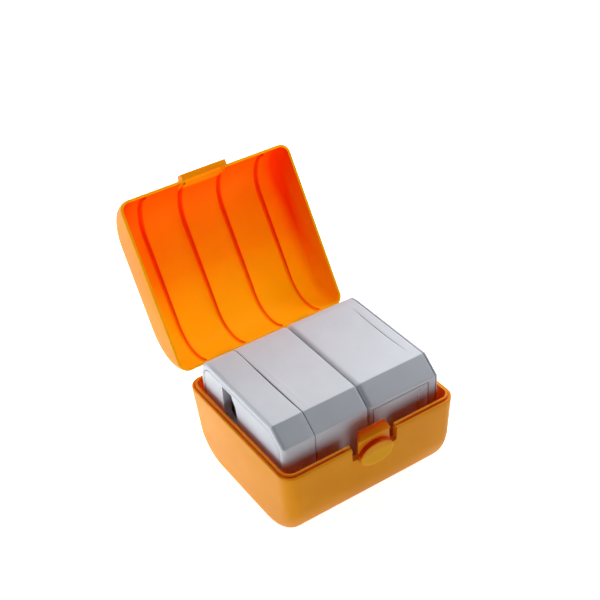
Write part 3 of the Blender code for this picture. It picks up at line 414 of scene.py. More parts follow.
def outline(corners, inset, arc_steps, cuts=None):
    """The closed outline through corners (u, v, radius), set in; its point count never changes.

    cuts gives the number of parts of a straight side, by the corner before it.
    """
    moved = inset_corners(corners, inset)
    count = len(moved)
    points = [Vector(c[:2]) for c in moved]
    area = sum(points[i - 1].cross(points[i]) for i in range(count))
    runs = []
    for i, here in enumerate(points):
        to_before = (points[i - 1] - here).normalized()
        to_after = (points[(i + 1) % count] - here).normalized()
        convex = -to_before.cross(to_after) * area > 0
        size = max(moved[i][2] - inset if convex else moved[i][2] + inset, 0.12)
        half = to_before.angle(to_after) / 2
        centre = here + (to_before + to_after).normalized() * (size / math.sin(half))
        start = here + to_before * (size / math.tan(half)) - centre
        end = here + to_after * (size / math.tan(half)) - centre
        swing = math.atan2(start.cross(end), start.dot(end))
        turns = [Matrix.Rotation(swing * k / arc_steps, 2) for k in range(arc_steps + 1)]
        runs.append([centre + turn @ start for turn in turns])
    made = []
    for i, run in enumerate(runs):
        made.extend(run)
        following = runs[(i + 1) % count][0]
        parts = (cuts or {}).get(i, 1)
        made.extend(run[-1].lerp(following, k / parts) for k in range(1, parts))
    return made


def in_plane_x(points, x):
    return [Vector((x, p[0], p[1])) for p in points]


def prism_x(name, corners, low, high, rounding=0.25, arc_steps=6):
    """A solid of constant side view (y, z) between two x, with its end edges rounded."""
    ends = end_to_end(low, high, rounding)
    return loft(name, [in_plane_x(outline(corners, inset, arc_steps), x) for x, inset in ends])


def rounded_end(x, way, radius, steps):
    """Stations (x, inset) round an end edge, from the end plane at x to full size, going the given way."""
    turns = [math.pi / 2 * k / steps for k in range(steps + 1)]
    return [(x + way * radius * (1 - math.cos(a)), radius * (1 - math.sin(a))) for a in turns]


def end_to_end(low, high, radius, steps=3, xs=()):
    """Stations from one end to the other with both end edges rounded, and with those at xs in between."""
    near = rounded_end(low, 1, radius, steps)
    return near + [(x, 0.0) for x in xs] + rounded_end(high, -1, radius, steps)[::-1]


def rectangle(low, high, radius):
    """The corners of a rectangle between two places (y, z)."""
    places = (low, (high[0], low[1]), high, (low[0], high[1]))
    return [(y, z, radius) for y, z in places]


def box_piece(name, low, high, radius=0.3):
    return prism_x(name, rectangle(low[1:], high[1:], radius), low[0], high[0], radius, 4)


def cylinder_x(name, x0, x1, y, z, radius):
    ends = end_to_end(x0, x1, 0.2)
    return loft(name, [circle_x(x, y, z, radius - inset, 40) for x, inset in ends])


# ---------------------------------------------------------------- case shells


# parts of a shell: down a wall, round a corner, over the panel, and round an end edge
WALL_STEPS = 8
ARC_STEPS = 16
PANEL_STEPS = 14
CORNER_STEPS = 8


def u_half(section, side, inset, wall, start):
    """One wall and its corner: (y, depth, inward y, inward depth, kind, angle) from the rim inwards."""
    depth = section["depth"] - wall
    index = 0 if side > 0 else 1
    radius = section["radii"][index] - wall
    angle = math.atan2(section["lean"][index], section["depth"])
    turn = math.pi / 2 - angle
    edge = -side * (BACK - wall)
    centre_y = edge + side * (math.tan(angle) * depth + math.tan(turn / 2) * radius)
    centre_d = depth - radius
    corner = []
    for k in range(ARC_STEPS + 1):
        a = angle + turn * k / ARC_STEPS
        ny, nd = side * math.cos(a), -math.sin(a)
        y, d = centre_y - ny * (radius - inset), centre_d - nd * (radius - inset)
        corner.append((y, d, ny, nd, "arc", a))
    ny, nd = corner[0][2:4]
    rim = Vector((edge + side * math.tan(angle) * start + ny * inset, start))
    foot = Vector(corner[0][:2])
    wall_points = []
    for k in range(WALL_STEPS):
        point = rim.lerp(foot, k / WALL_STEPS)
        wall_points.append((point.x, point.y, ny, nd, "wall", 0.0))
    return wall_points + corner


def u_line(section, way, inset, wall, start):
    """Side view of a shell from its front rim round to its back rim.

    The points are (y, z, inward y, inward z, kind, angle).
    """
    first = u_half(section, 1, inset, wall, start)
    second = u_half(section, -1, inset, wall, start)
    y0, y1 = first[-1][0], second[-1][0]
    floor = section["depth"] - wall - inset
    panel = []
    for k in range(1, PANEL_STEPS):
        panel.append((y0 + (y1 - y0) * k / PANEL_STEPS, floor, 0.0, -1.0, "panel", 0.0))
    points = first + panel + list(reversed(second))
    return [(y, way * d, ny, way * nd, kind, a) for y, d, ny, nd, kind, a in points]


# parts of each end wall of a shell, and how far from the rim the ribs of the lid start
SIDE_CUTS = 14
RIB_START = 1.5


def bowl(form, rows, painted_shade, shade):
    """Skins rows of points, closes both ends, and gives the loop of points round the open rim."""
    for first, second in zip(rows, rows[1:]):
        quads(form, first, second, False)
    sides = []
    for row in (rows[-1], rows[0]):
        cuts = []
        for k in range(1, SIDE_CUTS):
            cuts.append(form.verts.new(row[0].co.lerp(row[-1].co, k / SIDE_CUTS)))
            # the end walls take the painted shade of their skin
            cuts[-1][painted_shade] = shade
        form.faces.new(row + list(reversed(cuts)))
        sides.append(cuts)
    front = [row[0] for row in rows]
    back = [row[-1] for row in reversed(rows)]
    return front + sides[0] + back + list(reversed(sides[1]))


def rim_loop(half, radius, inset, height, xs, jog=None):
    """One loop round the rim, set in from the outer edge, in the order that bowl gives."""
    places = end_to_end(-half, half, radius, CORNER_STEPS, xs)
    front = [rim_point(half, radius, inset, x) for x, _ in places]
    back = [Vector((p.x, -p.y, 0)) for p in reversed(front)]
    right = [front[-1].lerp(back[0], k / SIDE_CUTS) for k in range(1, SIDE_CUTS)]
    left = [back[-1].lerp(front[0], k / SIDE_CUTS) for k in range(1, SIDE_CUTS)]
    loop = front + right + back + left
    for point in loop:
        point.z = height
        if jog:
            point.x += jog(point)
    return loop


def rim_point(half, radius, inset, x):
    """Where the station at x of the outer edge meets a rim line set in by inset, along the front."""
    corner = half - radius
    if abs(x) <= corner:
        return Vector((x, FRONT + inset, 0))
    sine = (abs(x) - corner) / radius
    cosine = math.sqrt(max(0.0, 1 - sine * sine))
    reach = radius - inset
    across = math.copysign(corner + reach * sine, x)
    return Vector((across, FRONT + radius - reach * cosine, 0))


def shell(name, section, way, half, radius, wall, xs, profile, leans, painted_shade_shares, ribs=None, jog=None):
    """A tub or a lid, open at its rim.

    The profile is a list of (in, height, painted glow, painted shade) round the rim from outside to inside. Leans
    are of the outer and inner end walls, and the two shares after them are the outer and inner share of painted
    shade.
    """
    form = bmesh.new()
    # painted glow and painted shade, per vertex
    glow = form.verts.layers.float.new("glow")
    painted_shade = form.verts.layers.float.new("painted_shade")
    depth = section["depth"]
    rims = []
    for skin, lean, start, shade in zip((0.0, wall), leans, (profile[0][1], profile[-1][1]), painted_shade_shares):
        rows = []
        for x, inset in end_to_end(skin - half, half - skin, radius - skin, CORNER_STEPS, xs):
            row = []
            for y, z, ny, nz, kind, angle in u_line(section, way, inset, skin, abs(start)):
                rise = ribs(x, kind, angle, y) if ribs and skin and abs(z) > RIB_START else 0.0
                slide = lean * (abs(z) - abs(start)) / depth * x / half
                vert = form.verts.new((x - slide, y + ny * rise, z + nz * rise))
                # painted shade, more on a taller rib
                vert[painted_shade] = min(1.0, shade + rise * RIB_SHADE)
                row.append(vert)
            # a painted highlight on the rim where a rib starts
            if ribs and skin and ribs(x, "wall", 0.0, -1.0):
                row[0][glow] = row[1][glow] = 1.0
            rows.append(row)
        rims.append(bowl(form, rows, painted_shade, shade))
    last, inner = rims
    # painted glow and painted shade round the rim, from the profile
    for inset, height, bright, shade in profile[1:-1]:
        loop = [form.verts.new(p) for p in rim_loop(half, radius, inset, height, xs, jog)]
        for vert in loop:
            vert[glow] = bright
            vert[painted_shade] = shade
        quads(form, last, loop, True)
        last = loop
    quads(form, last, inner, True)
    return finish_mesh(name, form)


def raise_to_rim(piece):
    piece.data.transform(Matrix.Translation((0, 0, RIM_Z * MM)))
    return piece


# painted shade on the inside of the tub
TUB_SHADE = 0.7
# round the rim of the tub: (in from the outside, above the rim, painted glow, painted shade)
TUB_RIM = (
    (0.0, -0.5, 0.0, 0.0),
    (0.05, -0.25, 0.3, 0.0),
    (0.2, -0.06, 0.7, 0.0),
    (0.42, 0.0, 0.4, 0.1),
    (0.6, 0.0, 0.0, 0.3),
    (LEDGE - 0.4, 0.0, 0.0, 0.35),
    (LEDGE - 0.28, -0.18, 0.0, TUB_SHADE),
    (LEDGE - 0.02, -0.18, 0.0, TUB_SHADE),
    (LEDGE, 0.1, 0.0, TUB_SHADE),
    (LEDGE + 0.02, LIP_HEIGHT - 0.26, 0.0, 0.5),
    (LEDGE + 0.1, LIP_HEIGHT - 0.07, 0.2, 0.3),
    (LEDGE + 0.26, LIP_HEIGHT, 0.2, 0.2),
    (TUB_WALL - 0.3, LIP_HEIGHT, 0.2, 0.25),
    (TUB_WALL - 0.08, LIP_HEIGHT - 0.08, 0.3, 0.35),
    (TUB_WALL, LIP_HEIGHT - 0.3, 0.0, 0.6),
    (TUB_WALL, 0.2, 0.0, TUB_SHADE),
    (TUB_WALL, -0.5, 0.0, TUB_SHADE),
)


TUB_JOG = -0.2
TUB_JOG_Y = 15.0


def tub_jog(point):
    """The lip stands a little further out behind a step in the left rim."""
    on_lip = 0.6 < point.x + HALF_W < TUB_WALL - 0.5
    behind_step = TUB_JOG_Y < point.y <= BACK - TUB_SIDE_RADIUS
    return TUB_JOG if on_lip and behind_step else 0.0


def build_tub():
    xs = [-33.0 + 6.0 * k for k in range(12)]
    leans = (TUB_SIDE_LEAN, TUB_CAVITY_SIDE_LEAN)
    size = (HALF_W, TUB_SIDE_RADIUS, TUB_WALL)
    tub = shell("case_tub", TUB_SECTION, -1, *size, xs, TUB_RIM, leans, (0.0, TUB_SHADE), jog=tub_jog)
    tub.data.materials.append(LOOKS["orange_plastic"])
    notch = rectangle((FRONT - 4.0, -NOTCH_DEPTH), (FRONT + 6.0, 8.0), 0.1)
    cutter = prism_x("notch", notch, -NOTCH_HALF, NOTCH_HALF, 0.6)
    # the faces cut by the notch take the painted-shade copy of the orange
    cutter.data.materials.append(PAINTED_SHADE_ORANGE)
    cut(tub, cutter)
    pieces = [raise_to_rim(piece) for piece in [tub] + tub_ribs() + tub_hinge()]
    place(pieces, "case_body", "orange_plastic", "case_base")


RIB_HALF = 0.5


def tub_ribs():
    """Four low ribs across the floor of the tub, under the modules."""
    top = MODULE_BOTTOM - RIM_Z - 0.35
    made = []
    for number, x in enumerate(RIB_X):
        line = [(y, z) for y, z, *_ in u_line(TUB_SECTION, -1, -0.4, TUB_WALL, 0.0) if z < top - 0.3]
        corners = [(y, z, 0.1) for y, z in line[::3]]
        y0, y1 = corners[0][0], corners[-1][0]
        corners = [(y0 - 2.0, top, 0.3)] + corners + [(y1 + 2.0, top, 0.3)]
        made.append(prism_x(f"tub_rib_{number + 1}", corners, x - RIB_HALF, x + RIB_HALF, 0.2, 2))
    return made


# the hinge: radius of its barrels, and the ends of each knuckle of the lid along x
BARREL = 1.65
KNUCKLE_IN = 16.1
KNUCKLE_OUT = 24.0


def tub_hinge():
    """The long middle barrel on its gusset, and the two stops under the lid's knuckles."""
    y, z = HINGE.y, HINGE_Z
    wall = BACK - 1.0
    corners = [
        (wall, -6.5, 0.2),
        (y + BARREL, z - 1.2, 1.3),
        (y + BARREL, z + BARREL, BARREL - 0.05),
        (y - BARREL, z + BARREL, BARREL - 0.05),
        (y - BARREL, z - 0.2, 0.2),
        (wall, -0.6, 0.1),
    ]
    made = [prism_x("tub_barrel", corners, -KNUCKLE_IN + 0.3, KNUCKLE_IN - 0.3, 0.25, 8)]
    for side, tag in ((-1, "left"), (1, "right")):
        low, high = sorted((side * (KNUCKLE_IN + 1.0), side * (KNUCKLE_OUT - 1.0)))
        lug = [(wall, -5.6, 0.2), (y + 1.1, z - 3.4, 0.2), (y + 1.1, z - 2.75, 0.2), (wall, z - 2.75, 0.1)]
        made.append(prism_x(f"stop_lug_{tag}", lug, low, high, 0.2, 4))
    return made


# ---------------------------------------------------------------- lid


def open_lid(piece):
    """Turns a piece modelled on the shut case to where it is on the open one."""
    hinge = Matrix.Translation((0, HINGE.y * MM, HINGE_Z * MM))
    piece.data.transform(hinge @ Matrix.Rotation(-OPEN_ANGLE, 4, "X") @ hinge.inverted())
    return raise_to_rim(piece)


# ribs in the lid: the turn at their neck, and their height there, on the panel and at each rim
RIB_NECK = math.radians(48)
RIB_LOW = 0.22
RIB_PANEL = 1.6
RIB_FRONT = 1.0
RIB_BACK = 0.7
# shares of painted shade, in deep red: per millimetre of a rib, and inside the lid
RIB_SHADE = 0.55
LID_SHADE = 0.3


def rib_rise(x, kind, angle, y):
    """Height of the lid's ribs: tallest on the panel, and a low neck half way round each corner."""
    if min(abs(x - rib) for rib in RIB_X) > RIB_HALF:
        return 0.0
    wall_rise = RIB_FRONT if y < 0 else RIB_BACK
    if kind == "panel":
        return RIB_PANEL
    if angle < RIB_NECK:
        return RIB_LOW + (wall_rise - RIB_LOW) * (1 - angle / RIB_NECK) ** 1.2
    return RIB_LOW + (RIB_PANEL - RIB_LOW) * ((angle - RIB_NECK) / (math.pi / 2 - RIB_NECK)) ** 1.2


def lid_stations():
    """Where the lid's loops are along x: close together at each rib, and wide apart between them."""
    xs = []
    for rib in RIB_X:
        xs += [rib + step for step in (-1.6, -0.8, -0.42, 0.0, 0.42, 0.8, 1.6)]
    xs += [-36.0, -24.0, -17.0, -4.0, 0.0, 4.0, 17.0, 24.0, 36.0]
    return sorted(xs)


# round the rim of the lid, as for the tub; its glow is a painted highlight along the rim
LID_RIM = (
    (0.0, 0.5, 0.0, 0.0),
    (0.06, 0.2, 0.5, 0.0),
    (0.2, 0.03, 1.0, 0.0),
    (0.4, 0.0, 1.0, 0.0),
    (LID_WALL - 0.4, 0.0, 1.0, 0.0),
    (LID_WALL - 0.2, 0.03, 1.0, 0.0),
    (LID_WALL - 0.05, 0.2, 0.5, 0.0),
    (LID_WALL, 0.5, 0.0, 0.2),
)


def build_lid():
    leans = (LID_SIDE_LEAN, LID_SIDE_LEAN)
    size = (HALF_W, LID_SIDE_RADIUS, LID_WALL)
    xs = lid_stations()
    lid = shell("case_lid_shell", LID_SECTION, 1, *size, xs, LID_RIM, leans, (0.0, LID_SHADE), rib_rise)
    join(lid, hood())
    cut(lid, hood_pocket(), hood_mouth())
    lid.data.transform(Matrix.Translation((0, 0, LID_GAP * MM)))
    paint(lid, lid_shades)
    lid.data.materials.append(THIN_ORANGE_PAINTED_GLOW)
    pieces = [open_lid(piece) for piece in [lid] + lid_knuckles()]
    place(pieces, "lid", "orange_plastic", "case_lid")


# where the painted shade of the end walls starts and how far it runs, how far a rib's painted shade reaches, and
# how far the painted glow runs from the hinge
END_SHADE_FROM, END_SHADE_RUN = 32.0, 8.5
RIB_SHADE_REACH = 1.6
PAINTED_GLOW_RUN = 25.0


def lid_shades(point, painted_shade, glow):
    """Inside, painted shade makes the lid deeper red towards the free edge, the end walls and the ribs, and a
    painted glow makes it clearer by the hinge.
    """
    if painted_shade < LID_SHADE - 0.01:
        return painted_shade, glow
    edge = 0.75 * (0.5 - 0.5 * point.y / BACK) ** 1.6
    end = max(0.0, (abs(point.x) - END_SHADE_FROM) / END_SHADE_RUN) ** 1.5
    end *= 0.6 if point.x > 0 else 0.4
    rib = max(0.0, 1.0 - min(abs(point.x - rib) for rib in RIB_X) / RIB_SHADE_REACH)
    # clear is a painted glow by the hinge, where light shines through the lid
    clear = min(1.0, max(0.0, point.y / PAINTED_GLOW_RUN)) * max(0.0, 1.0 - end - rib)
    return min(1.0, painted_shade - LID_SHADE + edge + end + 0.9 * rib), max(glow, clear)


def hood():
    """The box that stands out of the lid's front over the latch, just inside the CAD's."""
    outer = FRONT - HOOD_PROUD + 0.06
    corners = [
        (outer, 0.0, 0.3),
        (FRONT + 0.9, 0.0, 0.1),
        (FRONT + 3.2, 8.6, 0.1),
        (outer, 5.0, 1.6),
    ]
    return prism_x("hood", corners, -HOOD_HALF, HOOD_HALF, 0.5, 8)


def hood_pocket():
    """The hollow of the hood, over the hook."""
    inner = FRONT - HOOD_PROUD + HOOD_WALL
    corners = [
        (inner, 1.0, 0.1),
        (FRONT + 8.0, 1.0, 0.1),
        (FRONT + 8.0, 5.8, 0.1),
        (FRONT + 1.4, 5.8, 0.1),
        (inner, 3.8, 0.8),
    ]
    half = HOOD_HALF - HOOD_WALL
    return prism_x("hood_pocket", corners, -half, half, 0.3)


def hood_mouth():
    """The way up into the hollow from below, through the lid's front wall."""
    half = HOOD_HALF - HOOD_WALL - 0.01
    corners = rectangle((FRONT + 0.25, -4.0), (FRONT + 7.9, 3.0), 0.1)
    return prism_x("hood_mouth", corners, -half, half, 0.3)


def lid_knuckles():
    """The two outer barrels of the hinge, each with a heel that meets a stop of the tub."""
    made = []
    y, z = HINGE.y, HINGE_Z
    wall = BACK - 0.8
    for side, tag in ((-1, "left"), (1, "right")):
        low, high = sorted((side * KNUCKLE_IN, side * KNUCKLE_OUT))
        corners = [
            (wall, z + 0.35, 0.1),
            (y - BARREL, z, 0.2),
            (y - BARREL, z - BARREL, BARREL - 0.05),
            (y + BARREL, z - BARREL, BARREL - 0.05),
            (y + BARREL - 0.2, z + 1.7, 1.2),
            (wall, z + 3.2, 0.1),
        ]
        made.append(prism_x(f"lid_knuckle_{tag}", corners, low, high, 0.25, 8))
        heel = [
            (y - 0.3, z + 0.2, 0.1),
            (y + 1.3, z + 0.2, 0.2),
            (y + 1.3, z + 2.5, 0.3),
            (y - 0.3, z + 2.5, 0.3),
        ]
        made.append(prism_x(f"lid_heel_{tag}", heel, low + 1.6, high - 1.6, 0.2, 4))
    return made


# ---------------------------------------------------------------- latch


# the hook: heights of its foot, lip and top, how far the lip stands out, and its taper
HOOK_FOOT = 1.75
HOOK_LIP = 2.3
HOOK_TOP = 5.6
HOOK_PROUD = 0.2
HOOK_TAPER = 0.16


def build_latch():
    """The spring tongue with its wedge hook, and the oval push button on its front."""
    front, back = FRONT + 0.55, FRONT + TUB_WALL
    root = -NOTCH_DEPTH + 0.3
    lip = FRONT - HOOK_PROUD
    corners = [
        (front, root, 0.1),
        (back, root, 0.1),
        (back, HOOK_TOP, 0.25),
        (back - 0.35, HOOK_TOP, 0.2),
        (lip, HOOK_LIP, 0.2),
        (lip, HOOK_FOOT, 0.15),
        (front, HOOK_FOOT, 0.2),
    ]
    tongue = prism_x("latch_tongue_body", corners, -TONGUE_HALF, TONGUE_HALF, 0.3, 6)
    for vert in tongue.data.vertices:
        above = max(0.0, vert.co.z / MM - HOOK_LIP) / (HOOK_TOP - HOOK_LIP)
        vert.co.x *= 1 - HOOK_TAPER * above
    paint(tongue, tongue_shades)
    pieces = [raise_to_rim(piece) for piece in (tongue, latch_button())]
    place(pieces, "latch", "orange_plastic", "latch_tongue")


def tongue_shades(point, *_):
    """Painted shade makes the hook deep orange except at its ends."""
    on_hook = point.z > HOOK_LIP - 0.3 and abs(point.x) < TONGUE_HALF - 0.4
    return (0.9 if on_hook else 0.15), 0.0


def paint(piece, rule):
    """Sets the shares of painted shade and painted glow of every vertex by rule(place in millimetres, shade share,
    glow share).
    """
    mesh = piece.data
    for name in ("painted_shade", "glow"):
        if name not in mesh.attributes:
            mesh.attributes.new(name, "FLOAT", "POINT")
    layers = [mesh.attributes[name].data for name in ("painted_shade", "glow")]
    for number, vert in enumerate(mesh.vertices):
        shares = rule(vert.co / MM, *(layer[number].value for layer in layers))
        for layer, share in zip(layers, shares):
            layer[number].value = share


BUTTON_HALF = (8.25, 5.6)
BUTTON_Z = -6.3
BUTTON_PROUD = 1.7
BUTTON_SIDES = 64


def latch_button():
    """A low oval dome with a slightly dished face. Below the notch it stops short of the tub."""
    face = FRONT - BUTTON_PROUD
    rings = (
        (0.0, FRONT + 0.75),
        (0.0, FRONT - 0.32),
        (0.0, FRONT - 1.0),
        (0.12, FRONT - 1.35),
        (0.4, FRONT - 1.6),
        (0.8, face),
        (1.6, face + 0.06),
        (3.2, face + 0.16),
        (4.6, face + 0.2),
    )
    loops = []
    for inset, y in rings:
        loop = []
        for k in range(BUTTON_SIDES):
            angle = 2 * math.pi * k / BUTTON_SIDES
            x = (BUTTON_HALF[0] - inset) * math.cos(angle)
            z = BUTTON_Z + (BUTTON_HALF[1] - inset) * math.sin(angle)
            before_wall = y > FRONT - 0.3 and z < -NOTCH_DEPTH + 0.3
            loop.append(Vector((x, FRONT - 0.3 if before_wall else y, z)))
        loops.append(loop)
    button = loft("latch_button", loops)
    paint(button, button_shades)
    return button


def button_shades(point, *_):
    """Painted shade makes the upper side of the button deep red, and a painted highlight lights the lower edge of
    its face.
    """
    up = (point.z - BUTTON_Z) / BUTTON_HALF[1]
    on_side = point.y > FRONT - BUTTON_PROUD + 0.2
    on_edge = FRONT - BUTTON_PROUD - 0.01 < point.y < FRONT - BUTTON_PROUD + 0.2
    return (max(0.0, min(1.0, up * 3)) if on_side else 0.0), (0.8 if on_edge and up < 0.2 else 0.0)


# ---------------------------------------------------------------- modules


def module_corners():
    """Side view shared by both modules: bevelled along the front, well rounded along the back."""
    edge = 1.0
    low, high = MODULE_BOTTOM, MODULE_TOP
    return [
        (MODULE_FRONT, high - BEVEL_DROP, edge),
        (MODULE_FRONT + BEVEL_RUN, high, edge),
        (MODULE_BACK, high, MODULE_BACK_RADIUS),
        (MODULE_BACK, low, MODULE_BACK_RADIUS),
        (MODULE_FRONT + BEVEL_RUN, low, edge),
        (MODULE_FRONT, low + BEVEL_DROP, edge),
    ]


# parts of each side of that outline, by its first corner; the top has most, for its soft creases
MODULE_CUTS = {0: 5, 1: 26, 2: 4, 3: 6, 4: 3, 5: 5}


def module_loops(stations, shift=None, sink=None):
    """Loops at stations (x, inset) or (x, inset, share of the shift).

    From a point's place, shift gives its move along x, and sink how far it is pressed in.
    """
    loops = []
    corners = module_corners()
    for station in stations:
        x, inset = station[:2]
        loop = in_plane_x(outline(corners, inset, 8, MODULE_CUTS), x)
        for point in loop:
            on_top = point.z > MODULE_TOP - 0.6 - inset and point.y < MODULE_BACK - 5
            if shift and len(station) > 2:
                point.x += shift(point) * station[2]
            if sink and on_top and inset < 1.0:
                point.z -= sink(point)
        loops.append(loop)
    return loops


def seam_stations(seam, way):
    """The rounded edge of a shell of the socket module at its seam, from the outside in."""
    edge = ((0.5, 0.0), (0.16, 0.06), (0.0, 0.3), (0.0, 0.9), (0.0, MODULE_WALL))
    return [(seam + way * back, inset, 1.0) for back, inset in edge]


def parting_bow(point):
    """The seam of the socket module runs 0.3 mm to the left at the back, and to the right in front."""
    return -0.3 * max(-1.0, min(1.0, point.y / 28.0))


def cap_parting(point):
    """The edge of the end cap stands back from the seam, most of all half way along."""
    return parting_bow(point) - 0.34 * max(0.0, 1.0 - ((point.y + 3.0) / 22.0) ** 2)


CREASE_X = -20.0


def socket_crease(point):
    """A soft ridge beside the seam, and a slight hollow over the rest of the top."""
    line = CREASE_X - 0.55 * (point.y + 4.0) / 16.0
    fade = max(0.0, 1.0 - ((point.y + 3.0) / 21.0) ** 4)
    away = point.x - line
    ridge = math.exp(-((away / 0.9) ** 2)) * 0.10
    middle = (point.x + 10.0) / 12.5
    hollow = 0.16 * max(0.0, 1.0 - middle * middle) * max(0.0, 1.0 - (point.y / 30.0) ** 2)
    return hollow - ridge * fade


CAP_LIP = 2.9
CAP_LIP_DEPTH = 1.6


def build_socket_cap():
    """The end cap, a tube with a rounded left edge and the rim that frames the face plate."""
    inside = SOCKET_LEFT + CAP_LIP_DEPTH
    stations = [(inside, CAP_LIP), (SOCKET_LEFT + 0.2, CAP_LIP), (SOCKET_LEFT, CAP_LIP - 0.15)]
    stations += rounded_end(SOCKET_LEFT, 1, 1.7, 7)
    stations += [(x, 0.0) for x in (-33.5, -31.0, -28.5, -26.0)]
    stations += seam_stations(SOCKET_PARTING - SEAM, -1) + [(inside, MODULE_WALL)]
    cap = loft("socket_cap_shell", module_loops(stations, cap_parting), closed=True)
    place([cap] + socket_cap_bosses(), "socket_module", "white_plastic", "socket_end_cap")


# radius and bore of a boss that a screw bites in, and of one under its head, and radius of the head's seat
PILOT_BOSS = (3.2, 1.25)
HEAD_BOSS = (4.0, 1.35)
SEAT_RADIUS = 2.9


def boss_tube(name, x0, x1, middle, radius, bore):
    """A screw boss: a tube with rounded ends."""
    rings = [(x, radius - inset) for x, inset in end_to_end(x0, x1, 0.2)]
    rings += [(x1, bore + 0.15), (x1 - 0.2, bore), (x0 + 0.2, bore), (x0, bore + 0.15)]
    return loft(name, [circle_x(x, middle.y, middle.z, size, 32) for x, size in rings], closed=True)


def middle_of(name):
    low, high = node_box(name)
    return (low + high) / 2


def socket_cap_bosses():
    made = []
    for number in (1, 2):
        name = f"socket_cap_boss_{number}"
        middle = middle_of(f"socket_screw_{number}")
        made.append(boss_tube(name, SOCKET_LEFT + 4.5, SOCKET_PARTING - 0.2, middle, *PILOT_BOSS))
    return made


def build_socket_body():
    """The main shell: seam on the left, crisp rounded edge on the right, walls all round."""
    steps = (-2.2, -1.5, -1.0, -0.6, -0.3, 0.0, 0.3, 0.6, 1.0, 1.5, 2.5)
    xs = [CREASE_X + step for step in steps] + [-16, -13, -10, -7, -4, -1, 1.2]
    stations = [(SOCKET_RIGHT - MODULE_WALL, MODULE_WALL)]
    stations += seam_stations(SOCKET_PARTING + SEAM, 1)[::-1]
    stations += [(x, 0.0) for x in xs]
    stations += rounded_end(SOCKET_RIGHT, -1, 0.5, 4)[::-1]
    body = loft("socket_shell", module_loops(stations, parting_bow, socket_crease))
    cut(body, *screw_seats("socket", SOCKET_RIGHT - 4.0, SOCKET_RIGHT + 5))
    made = [body]
    ends = (SOCKET_RIGHT - 8.5, SOCKET_RIGHT - 5.0, SOCKET_RIGHT - 0.6)
    made += head_bosses("socket_body_boss", "socket", *ends)
    back = node_box("contact_carrier")[1].x + 0.3
    for number, y in enumerate((PIN_Y, EARTH_Y)):
        name = f"carrier_post_{number + 1}"
        made.append(cylinder_x(name, back, SOCKET_RIGHT - 1.0, y, MODULE_MID, 3.2))
    place(made, "socket_module", "grey_plastic", "socket_body")


def screw_seats(module, low, high):
    """Cutters for the round seats of a module's two screw heads."""
    made = []
    for number in (1, 2):
        middle = middle_of(f"{module}_screw_{number}")
        made.append(cylinder_x(f"{module}_seat_{number}", low, high, middle.y, middle.z, SEAT_RADIUS))
    return made


def head_bosses(name, module, low, ledge, high):
    """The bosses at a module's screw heads: narrow as far as the ledge, then a wall round the head."""
    made = []
    for number in (1, 2):
        middle = middle_of(f"{module}_screw_{number}")
        made.append(boss_tube(f"{name}_{number}", low, ledge, middle, *HEAD_BOSS))
        wall = (HEAD_BOSS[0], SEAT_RADIUS)
        made.append(boss_tube(f"{name}_{number}_wall", ledge - 0.2, high, middle, *wall))
    return made


# places along y of the round pins and of the earth, and the pitch of the pins
PIN_Y = 10.0
EARTH_Y = -12.2
PIN_PITCH = 22.2
OPENING_HALF = (5.25, 8.3)
OPENING_FORWARD = 0.55
EARTH_HALF = (4.2, 2.4)
PLATE_INSET = 3.05
PLATE_DEPTH = 1.9


def plug_opening(y, z, way):
    """A stepped opening that takes round, flat and slanted pins; way turns the lower one over."""
    w, h = OPENING_HALF
    shape = [
        (w, h, 0.3),
        (-0.40 * w, h, 0.4),
        (-0.52 * w, 0.76 * h, 0.5),
        (-0.84 * w, 0.48 * h, 0.7),
        (-0.94 * w, 0.14 * h, 0.6),
        (-w, -0.28 * h, 0.8),
        (-w, -0.80 * h, 0.8),
        (-0.40 * w, -h, 1.0),
        (0.60 * w, -h, 1.0),
        (w, -0.76 * h, 0.8),
    ]
    return [(y + u, z + way * v, r) for u, v, r in shape]


def build_face_plate():
    """The plate set in the left end, with its two stepped openings and the earth opening."""
    low, high = node_box("socket_face_plate")
    ledge = low.x + PLATE_DEPTH
    flange = MODULE_WALL + 0.15
    stations = [(x, PLATE_INSET + inset) for x, inset in rounded_end(low.x, 1, 0.3, 4)]
    stations += [(ledge, PLATE_INSET), (ledge, flange), (high.x, flange)]
    plate = loft("socket_plate", module_loops(stations))
    shapes = []
    for way in (1, -1):
        shapes.append(plug_opening(PIN_Y - OPENING_FORWARD, MODULE_MID + way * PIN_PITCH / 2, way))
    near = (EARTH_Y - EARTH_HALF[0], MODULE_MID - EARTH_HALF[1])
    far = (EARTH_Y + EARTH_HALF[0], MODULE_MID + EARTH_HALF[1])
    shapes.append(rectangle(near, far, 0.8))
    cut(plate, *(prism_x("opening", shape, low.x - 3, high.x + 3, 0.05, 5) for shape in shapes))
    place([plate], "socket_module", "white_plastic", "socket_face_plate")


# gaps round the fuse cover and the pins, and half the height of the well for the fuse
COVER_GAP = 0.3
PIN_GAP = 0.6
WELL_HALF = 4.6
COVER_LOW, COVER_HIGH = node_box("fuse_cover")


GROOVE_X = 32.1


def plug_groove(point):
    """A fine curved step along the top near the right end, deepest half way."""
    along = (point.y - 1.5) / 20.0
    line = GROOVE_X + 0.55 * along * along
    fade = max(0.0, 1.0 - along**4)
    away = (point.x - line) / 0.22
    groove = 0.34 * math.exp(-(away * away))
    step = 0.28 / (1.0 + math.exp(-(point.x - line) / 0.07)) * math.exp(-max(0.0, point.x - line) / 1.6)
    return (groove + step) * fade


